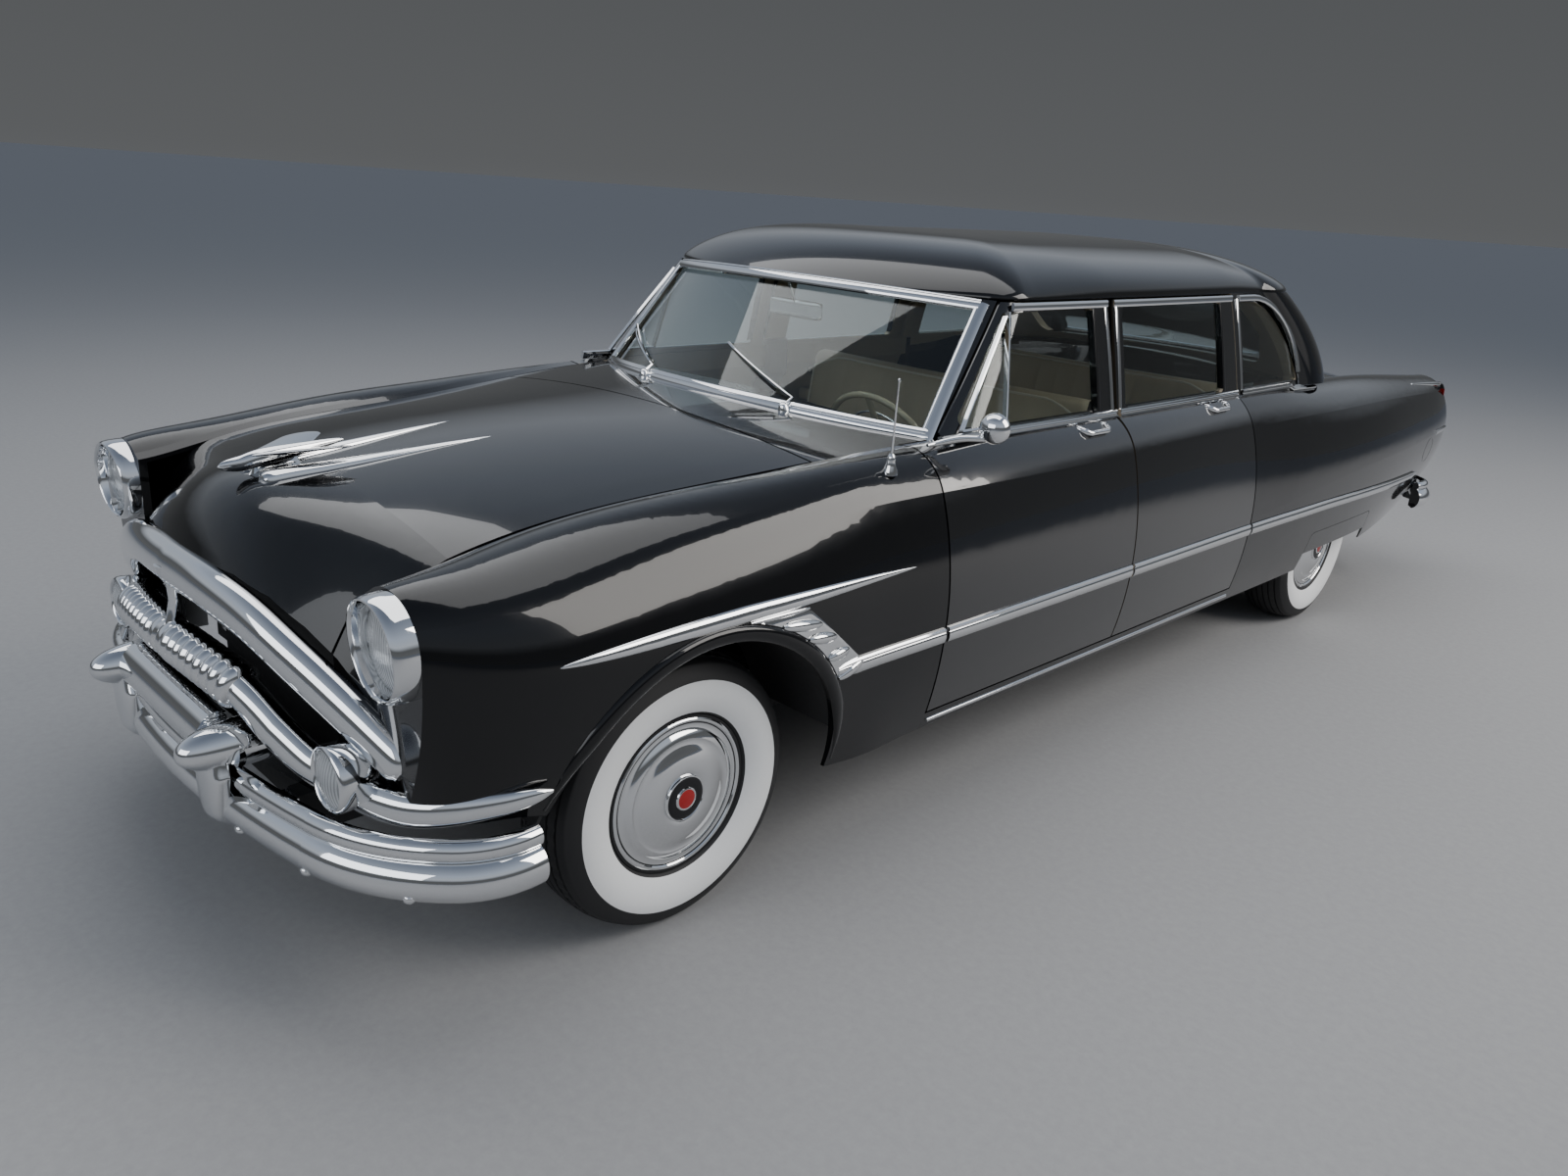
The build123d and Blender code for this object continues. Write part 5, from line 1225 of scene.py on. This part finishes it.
quarter_arc_places = [(QUARTER_ARC_CENTRE[0] + QUARTER_ARC_LONG * math.cos(a),
                       QUARTER_ARC_CENTRE[1] + QUARTER_ARC_HIGH * math.sin(a))
                      for a in [math.radians(90 - 84 * i / 12) for i in range(13)]]
opening_trim("quarter_band_left", [(640, Z_FRAME_BAND)] + quarter_arc_places, BAND_SECTION, "body")

# Grille: the bright arch, and the ribbed bar with its drops and wings.
# Columns: x, y, z, tilt, height, depth of the oval section
ARCH_TABLE = [(0, -2944, 856, 0, 104, 78), (180, -2938, 853, -4, 104, 78),
              (330, -2918, 829, -16, 104, 78), (470, -2888, 776, -27, 102, 78),
              (600, -2846, 706, -33, 100, 78), (700, -2812, 646, -38, 96, 76),
              (748, -2794, 610, -42, 92, 72), (764, -2788, 596, -45, 66, 52)]
BAR_TABLE = [(0, -2965, 682, 0, 74, 74), (180, -2957, 680, -3, 74, 74), (330, -2938, 660, -22, 80, 74),
             (430, -2908, 594, -42, 88, 74), (520, -2876, 544, -18, 86, 72), (600, -2850, 530, -4, 84, 70),
             (700, -2832, 522, 0, 80, 64), (790, -2800, 524, 4, 74, 54), (858, -2740, 532, 10, 66, 44),
             (908, -2662, 543, 13, 54, 36), (934, -2602, 551, 14, 38, 24), (945, -2560, 556, 14, 8, 8)]
RIB_START, RIB_PITCH, RIB_COUNT, RIB_HEIGHT = 40.0, 32.0, 9, 15.0
COLLAR = [(-16, 37), (-12, 46), (0, 49), (12, 46), (16, 37)]
# Height, half width, place along Y of the plain centre post
POST_ROWS = ((716, 17, -2978), (740, 15, -2970), (775, 15, -2962), (812, 19, -2964), (840, 24, -2978),
             (862, 22, -2985))


def oval_bar(table, count, segments, swell=lambda p: 0.0):
    """Whole bar of oval section from the table of its left half, swollen by the given function."""
    places = smooth_curve([row[:3] for row in table], count)
    sizes = smooth_curve([row[3:] for row in table], count)
    rows = []
    for i, (p, size) in enumerate(zip(places, sizes)):
        before, after = places[max(i - 1, 0)], places[min(i + 1, count - 1)]
        forward = Vector((1, 0, 0)) if i == 0 else (after - before).normalized()
        flat = Vector((forward.x, forward.y, 0)).normalized()
        front = Vector((flat.y, -flat.x, 0))
        rise = front.cross(forward).normalized()
        rise = rise if rise.z > 0 else -rise
        tall, deep = size.y / 2 + swell(p), size.z / 2 + swell(p)
        rows.append([p + rise * (tall * s) + front * (deep * c) for c, s in ellipse(segments)])
    mirrored = [[Vector((-p.x, p.y, p.z)) for p in row] for row in rows[1:]]
    return rows_to_mesh(mirrored[::-1] + rows, closed_rows=True, caps=True)


def rib_swell(p):
    t = (p.x - RIB_START) / RIB_PITCH
    return RIB_HEIGHT * abs(math.sin(math.pi * (t % 1))) ** 0.5 if 0 <= t < RIB_COUNT else 0.0


def grille():
    make_object("grille_arch", *oval_bar(ARCH_TABLE, 90, 48), chrome, "body", replaces=["grille_surround"])
    make_object("grille_ribbed_bar", *oval_bar(BAR_TABLE, 520, 36, rib_swell), chrome, "body",
                replaces=["grille_bar"])
    collars = [turned(COLLAR, (sign * 24, -2965, 682), (1, 0, 0), 48) for sign in (1, -1)]
    make_object("grille_collars", *joined(collars), chrome, "body")


def grille_back():
    """Black sheet behind the grille mouth, painted shade standing in for the dark opening, and the plain
    centre post.
    """
    # Black sheet across the mouth: painted shade for the dark inside of the grille
    mouth_shade_sheet = [[(x, -2700 + 0.0001 * x * x, 470 + 45 * j) for x in range(-640, 641, 80)] for j in range(9)]
    make_object("grille_mouth_shade", *rows_to_mesh(mouth_shade_sheet), rim_black, "body")
    post = [[(w * c, y + 9 - 14 * max(0, s), z) for c, s in ellipse(20)] for z, w, y in POST_ROWS]
    make_object("grille_post", *rows_to_mesh(post, closed_rows=True, caps=True), chrome, "body")


grille()

# Front bumper fittings
BULLET_TIP, BULLET_RADIUS, BULLET_NOSE = (291, -3078, 525), 56, 150
BULLET_BACK = [(-200, 0), (-200, 50), (-197, 54)]
# Outline (y, z) of the raised centre bar
CENTRE_LOOP = [(-2982, 480.4), (-3003, 488), (-3016, 500), (-3023, 516), (-3023, 536), (-3016, 556),
               (-3005, 573), (-2990, 586), (-2970, 590), (-2952, 586), (-2945, 480.4)]
BOLT = [(-2, 13), (1, 13), (4, 11), (7, 7), (8.5, 0)]
BOLT_PLACES = ((370, 352), (613, 352), (-370, 352), (-613, 352), (840, 354), (-840, 354))
Y_AHEAD = -3300
bumper_tree = tree_of(["front_bumper"])


def guards():
    """Smooth bullets and the raised centre bar between them."""
    nose = []
    for a in range(90, -1, -5):
        b = math.radians(90 - a)
        nose.append((-BULLET_NOSE * (1 - math.sin(b)), BULLET_RADIUS * math.cos(b) ** 0.85))
    x_tip, y_tip, z_tip = BULLET_TIP
    bullets = [turned(BULLET_BACK + nose, (sign * x_tip, y_tip, z_tip), FORWARD, 64) for sign in (1, -1)]
    centre = [[(x, y, z) for y, z in CENTRE_LOOP] for x in range(-252, 253, 24)]
    v, f = joined([*bullets, rows_to_mesh(centre, closed_rows=True, caps=True)])
    make_object("guard_set", v, f, chrome, "body", sharp=40, replaces=["bumper_guards"])


# Under each bullet: place across the car, upper end and height of the leg
X_LEG, Z_LEG, LEG_HEIGHT = 284, 536, 204


def guard_leg(sign):
    """Rounded leg in front of the blade, from under the bullet down to the blade's lower edge."""
    hits = [ray_hit(bumper_tree, (sign * 285, Y_AHEAD, z), (0, 1, 0))[0] for z in range(345, 470, 12)]
    y_blade = min(hit.y for hit in hits if hit is not None)
    rows = []
    for t in fractions(33):
        half = 44 + 30 * min(1.0, t / 0.34) ** 1.5 - 34 * t ** 1.3
        curl = 34 * max(0.0, (t - 0.8) / 0.2) ** 2
        y_front = y_blade - 12 - 10 * math.sin(math.pi * t) + curl
        row = []
        for f in fractions(33):
            a = math.pi * f
            row.append((sign * (X_LEG - 10 * t - half * math.cos(a)), y_front + 40 * (1 - math.sin(a) ** 0.5),
                        Z_LEG - LEG_HEIGHT * t))
        rows.append(row if sign > 0 else row[::-1])
    return rows_to_mesh(rows)


def bolts():
    heads = []
    for x, z in BOLT_PLACES:
        place, out = ray_hit(bumper_tree, (x, Y_AHEAD, z), (0, 1, 0))
        if place is not None:
            heads.append(turned(BOLT, place, out, 24))
    make_object("bumper_bolts", *joined(heads), chrome, "body")


guards()
make_object("guard_legs", *joined([guard_leg(1), guard_leg(-1)]), chrome, "body")
bolts()
grille_back()

# Tail lamp rows: height, half width, rear end along Y
TAIL_ROWS = ((772, 30, 3050), (778, 40, 3050), (786, 44, 3050), (794, 43, 3046), (804, 41, 3042),
             (900, 40, 3030), (985, 36, 3018), (1008, 26, 3008), (1016, 12, 3000))
X_TAIL, TAIL_DEPTH, TAIL_END = 838, 42, 3047
TAIL_LENS = (806, 985)
FLANGE_SECTION = [(-12, -6), (-12, 3), (-4, 9), (6, 9), (12, 3), (12, -6)]
SEAM_SECTION = [(-1.6, -2), (-1.6, 1.2), (1.6, 1.2), (1.6, -2)]
FLANGE_ENDS, Z_FLANGE = (2760, 3045), 790
# Fuel door: centre (y, z) and half sizes
FUEL_DOOR, FUEL_DOOR_HALF = (2700, 706), (70, 62)
REAR_GUARD, BUMPER_END, BALL_RADIUS = (470, 3036, 500), (893, 2872, 468), 45
lid_tree = tree_of(["boot_lid"])


def tail_lamp():
    """Chrome housing with a red lens between two heights."""
    rows = []
    for z, w, y in TAIL_ROWS:
        rows.append([(X_TAIL + w * c, min(y - TAIL_DEPTH + TAIL_DEPTH * max(0, s), TAIL_END), z)
                     for c, s in ellipse()])
    v, f = rows_to_mesh(rows, closed_rows=True, caps=True)
    heights = [sum(v[i][2] for i in face) / len(face) for face in f]
    slots = [1 if TAIL_LENS[0] < z < TAIL_LENS[1] else 0 for z in heights]
    pair("tail_lamp_left", v, f, chrome, "body", materials=[chrome, lens_red], face_slots=slots,
         replaces=["tail_lamps"])


def tail_trim():
    """Flange beside the lamp, and the bright tip on the fin's crest."""
    flange = []
    for t in fractions(13):
        y = FLANGE_ENDS[0] + (FLANGE_ENDS[1] - FLANGE_ENDS[0]) * t
        p, _ = on_side(y, Z_FLANGE)
        if p is None:
            p = Vector((860 - 0.25 * (y - 2990), y, Z_FLANGE))
        flange.append((p, Vector((1, 0.0, 0.1))))
    trim("tail_flange_left", flange, FLANGE_SECTION, "body")
    crest = found(on_top(X_TAIL, y, -1) for y in range(2560, 2990, 30))
    scale = [0.25 + 0.75 * t for t in fractions(len(crest))]
    trim("fin_tip_left", crest, half_round(15, 16), "body", scale=scale)


def on_back(x, z, lift=0.0):
    return ray_hit(lid_tree, (x, 3500, z), (0, -1, 0), lift)


def boot_fittings():
    """Fuel door seam, boot handle and the bright band on the lid."""
    (y, z), (long, high) = FUEL_DOOR, FUEL_DOOR_HALF
    seam = found(on_side(y + long * c, z + high * s, -0.6) for c, s in ellipse(48))
    seam.append(seam[0])
    trim("fuel_door_left", seam, SEAM_SECTION, "body", rim_black, mirror=False)
    grip = found(on_back(-130 + 260 * t, 782 - 26 * math.sin(math.pi * t), 6 + 16 * math.sin(math.pi * t))
                 for t in fractions(21))
    make_object("boot_handle", *tube([p for p, _ in grip], 9, 14), chrome, "boot_lid")
    band = found(on_back(x, 858, -0.5) for x in range(-380, 381, 40))
    trim("boot_band", band, half_round(12, 9), "boot_lid", mirror=False)


def rear_guards():
    """Round guards on the rear bumper, and the balls at its two ends."""
    guard = [(-70, 0), (-70, 30)] + [(-70 + 70 * math.sin(math.radians(a)), 38 * math.cos(math.radians(a)))
                                     for a in range(0, 91, 9)]
    ball = [(-58, 0), (-56, 14), (-44, 31), (-24, 41), (0, BALL_RADIUS)]
    ball += [(44 * math.sin(math.radians(a)), BALL_RADIUS * math.cos(math.radians(a)))
             for a in range(10, 91, 10)]
    (x, *yz), (x_end, *yz_end) = REAR_GUARD, BUMPER_END
    parts = [turned(guard, (sign * x, *yz), (0, 1, 0), 40) for sign in (1, -1)]
    parts += [turned(ball, (sign * x_end, *yz_end), (sign * 0.5, -0.86, 0), 40) for sign in (1, -1)]
    make_object("rear_guards", *joined(parts), chrome, "body")


tail_lamp()
tail_trim()
boot_fittings()
rear_guards()

# Steering wheel
STEERING_CENTRE, STEERING_LEAN = Vector((385, -905, 985)), math.radians(27)
STEERING_AXIS = Vector((0, math.cos(STEERING_LEAN), math.sin(STEERING_LEAN)))
STEERING_UP = STEERING_AXIS.cross(Vector((1, 0, 0))).normalized()
RIM_RADIUS, HORN_RADIUS = 215, 148


def steering_out(angle):
    """Direction in the plane of the steering wheel, by its angle in radians."""
    return Vector((1, 0, 0)) * math.cos(angle) + STEERING_UP * math.sin(angle)


def steering_ring(radius, thick, lift, count, start=0, end=360, grips=0.0):
    """Ring or part of a ring of round section, with finger grips of the given share of its thickness."""
    rows = []
    full = end - start >= 360
    for i in range(count if full else count + 1):
        a = math.radians(start + (end - start) * i / count)
        out, r = steering_out(a), thick * (1 + grips * math.sin(a * 40))
        rows.append([STEERING_CENTRE + STEERING_AXIS * (lift + r * s) + out * (radius + r * c)
                     for c, s in ellipse(14)])
    return rows_to_mesh(rows, closed_rows=True, closed_ends=full, caps=not full)


def steering():
    centre, axis = STEERING_CENTRE, STEERING_AXIS
    # Each mesh with 0 for ivory or 1 for chrome
    parts = [(steering_ring(RIM_RADIUS, 10.5, -22, 96, grips=0.05), 0),
             (steering_ring(HORN_RADIUS, 4, -14, 64, 200, 340), 1)]
    for angle in (0, 180, 270):
        out = steering_out(math.radians(angle))
        spoke = [(centre + out * r + axis * (-24 + 6 * math.sin(math.pi * r / RIM_RADIUS)), axis)
                 for r in (30, 80, 130, 170, 208)]
        parts.append((bar(spoke, half_round(13, 6) + [(10, -4), (-10, -4)]), 0))
    for angle in (205, 335):
        out = steering_out(math.radians(angle))
        parts.append((tube([centre + out * r + axis * -16 for r in (34, 90, HORN_RADIUS)], 3, 8), 1))
    parts.append((turned([(-45, 34), (-30, 36), (-20, 38), (-10, 37), (-6, 34)], centre, axis, 48), 0))
    parts.append((turned([(-8, 34), (-4, 33), (0, 27), (3, 16), (4, 0)], centre, axis, 48), 1))
    slots = [slot for mesh, slot in parts for _ in mesh[1]]
    make_object("steering_rim", *joined([mesh for mesh, _ in parts]), ivory, "steering_wheel",
                materials=[ivory, chrome], face_slots=slots, replaces=["steering_wheel"])
    low, high = centre + axis * -70, centre + axis * -64
    stalk = tube([low + Vector((30, 0, 0)), high + Vector((150, 0, 40))], 4, 10)
    knob = turned([(-10, 0), (-8, 8), (0, 10), (8, 8), (10, 0)], high + Vector((152, 0, 41)), (1, 0, 0.3), 20)
    make_object("gear_lever", *joined([stalk, knob]), chrome, "body")


steering()

# Dashboard furniture: name, place along X and radius of each dial
DIALS = (("clock", 0.0, 40), ("speedometer", 385.0, 62), ("gauge_a", 250.0, 40), ("gauge_b", 520.0, 40))
dash_tree = tree_of(["dashboard"])


def on_dash(x, z, lift=0.0):
    return ray_hit(dash_tree, (x, -900, z), (0, -1, 0), lift)


def dashboard():
    for name, x, r in DIALS:
        p, n = on_dash(x, 1010)
        rim = turned([(-1, r), (4, r), (7, r - 3), (5, r - 7), (2, r - 8)], p, n, 48)
        face = turned([(2, r - 8), (2.2, 0)], p, n, 48)
        make_object(name, *joined([rim, face]), chrome, "body", materials=[chrome, dial],
                    face_slots=[0] * len(rim[1]) + [1] * len(face[1]))
    strip = found(on_dash(x, 940, -0.5) for x in range(-660, 661, 40))
    trim("dash_strip", strip, half_round(14, 7), "body", mirror=False)
    lines = [found(on_dash(x, 985 + 9 * k, -0.5) for x in range(-330, -89, 30)) for k in range(7)]
    make_object("dash_grille", *joined([bar(line, half_round(2.4, 3)) for line in lines]), chrome, "body")


def header_fittings():
    """Inner mirror and sun visors."""
    stem = tube([(0, -1015, 1478), (0, -985, 1420), (0, -975, 1400)], 5, 10)
    head = rounded_box((0, -972, 1385), (230, 22, 58), 10)
    make_object("inner_mirror", *joined([stem, head]), chrome, "body")
    visors = [rounded_box((x, -860, 1474), (340, 110, 14), 6, turn=turn_x(-6)) for x in (300, -300)]
    make_object("sun_visors", *joined(visors), cloth, "body")


dashboard()
header_fittings()


# Seats: crowned cushions with sewn channels and piping
CUSHION_GRID = (140, 40, 14)
CUSHION_EDGE, CUSHION_CHANNELS, CHANNEL_DEPTH, SIDE_PULL = 46.0, 13, 9.0, 0.02
# Name, centre, size, lean in degrees, height of the crown and what the cushion stands for
CUSHIONS = (
    ("front_cushion", (0, -505, 545), (1340, 500, 190), -4, 26, ["front_seat"]),
    ("front_back", (0, -168, 850), (1340, 560, 120), 79, 14, []),
    ("rear_cushion", (0, 555, 540), (1340, 500, 190), -4, 26, ["rear_seat"]),
    ("rear_back", (0, 905, 850), (1260, 520, 110), 76, 14, []),
)


def cushion(name, centre, size, lean, crown, replaces, fill=0.75):
    """Stuffed bench cushion: soft edges, a crowned face with sewn channels, sides that pull in."""
    half = sx, sy, sz = [s / 2 for s in size]
    turn, centre = turn_x(lean), Vector(centre)

    def skin(uvw):
        """Place on the cushion from u across, v along and w through, each -1 to 1."""
        out = pulled_in(uvw, half, CUSHION_EDGE)
        fade_x = max(0.0, 1 - abs(out.x / sx) ** 6)
        fade_y = max(0.0, 1 - abs(out.y / sy) ** 4)
        lobe = abs(math.sin(math.pi * CUSHION_CHANNELS * (out.x / sx + 1) / 2))
        groove = CHANNEL_DEPTH * (1 - lobe ** 0.45) * fade_y ** 0.6 * min(1, fade_x * 6)
        out.z += (crown * fade_x * fade_y - groove) * max(0.0, out.z / sz) ** 2
        out.x *= 1 - (1 - (out.y / sy) ** 2) * SIDE_PULL
        out.y *= 1 - (1 - (out.x / sx) ** 2) * SIDE_PULL
        return centre + turn @ out
    v, f = cube_skin(*CUSHION_GRID, skin)
    made = welded(make_object(name, v, f, leather, "body", sharp=80, replaces=replaces), 0.0004)
    welt = []
    for a in circle(120):
        u, v = (max(-1, min(1, 1.25 * side)) for side in (math.cos(a), math.sin(a)))
        welt.append(skin((u * 0.985, v * 0.93, 1)) + turn @ Vector((0, 0, 1.5)))
    make_object(name + "_piping", *tube(welt + welt[:1], 4.5, 8, caps=False), piping, "body")


def seats():
    for row in CUSHIONS:
        cushion(*row)
    for name, y in (("front", -505), ("rear", 565)):
        base = rounded_box((0, y, 412), (1240, 430, 112), 14, rows=5)
        make_object(f"seat_base_{name}", *base, cloth, "body")
    shell = rounded_box((0, -112, 800), (1300, 40, 560), 16, rows=5, turn=turn_x(-11))
    make_object("front_seat_shell", *shell, cloth, "body")


def door_trim(name, y0, y1):
    """Arm rest and window crank inside a door."""
    y_crank = y0 + 0.3 * (y1 - y0)
    rest = rounded_box((810, (y0 + y1) / 2, 905), (70, (y1 - y0) * 0.55, 60), 20, rows=5)
    hub = turned([(0, 16), (10, 15), (14, 10), (14, 0)], (838, y_crank, 1010), (-1, 0, 0), 24)
    handle = tube([(826, y_crank, 1010), (820, y_crank + 20, 950)], 5, 8)
    pair(f"arm_rest_{name}_left", *rest, leather, f"door_{name}_left")
    pair(f"window_crank_{name}_left", *joined([hub, handle]), chrome, f"door_{name}_left")


seats()
door_trim("front", -1180, -330)
door_trim("rear", -250, 555)

# Robe rail on the front seat's back
ROBE_RAIL = [(-480, -40, 980), (-470, -10, 975), (0, -6, 972), (470, -10, 975), (480, -40, 980)]
make_object("robe_rail", *tube(smooth_curve(ROBE_RAIL, 30), 9, 12), chrome, "body")
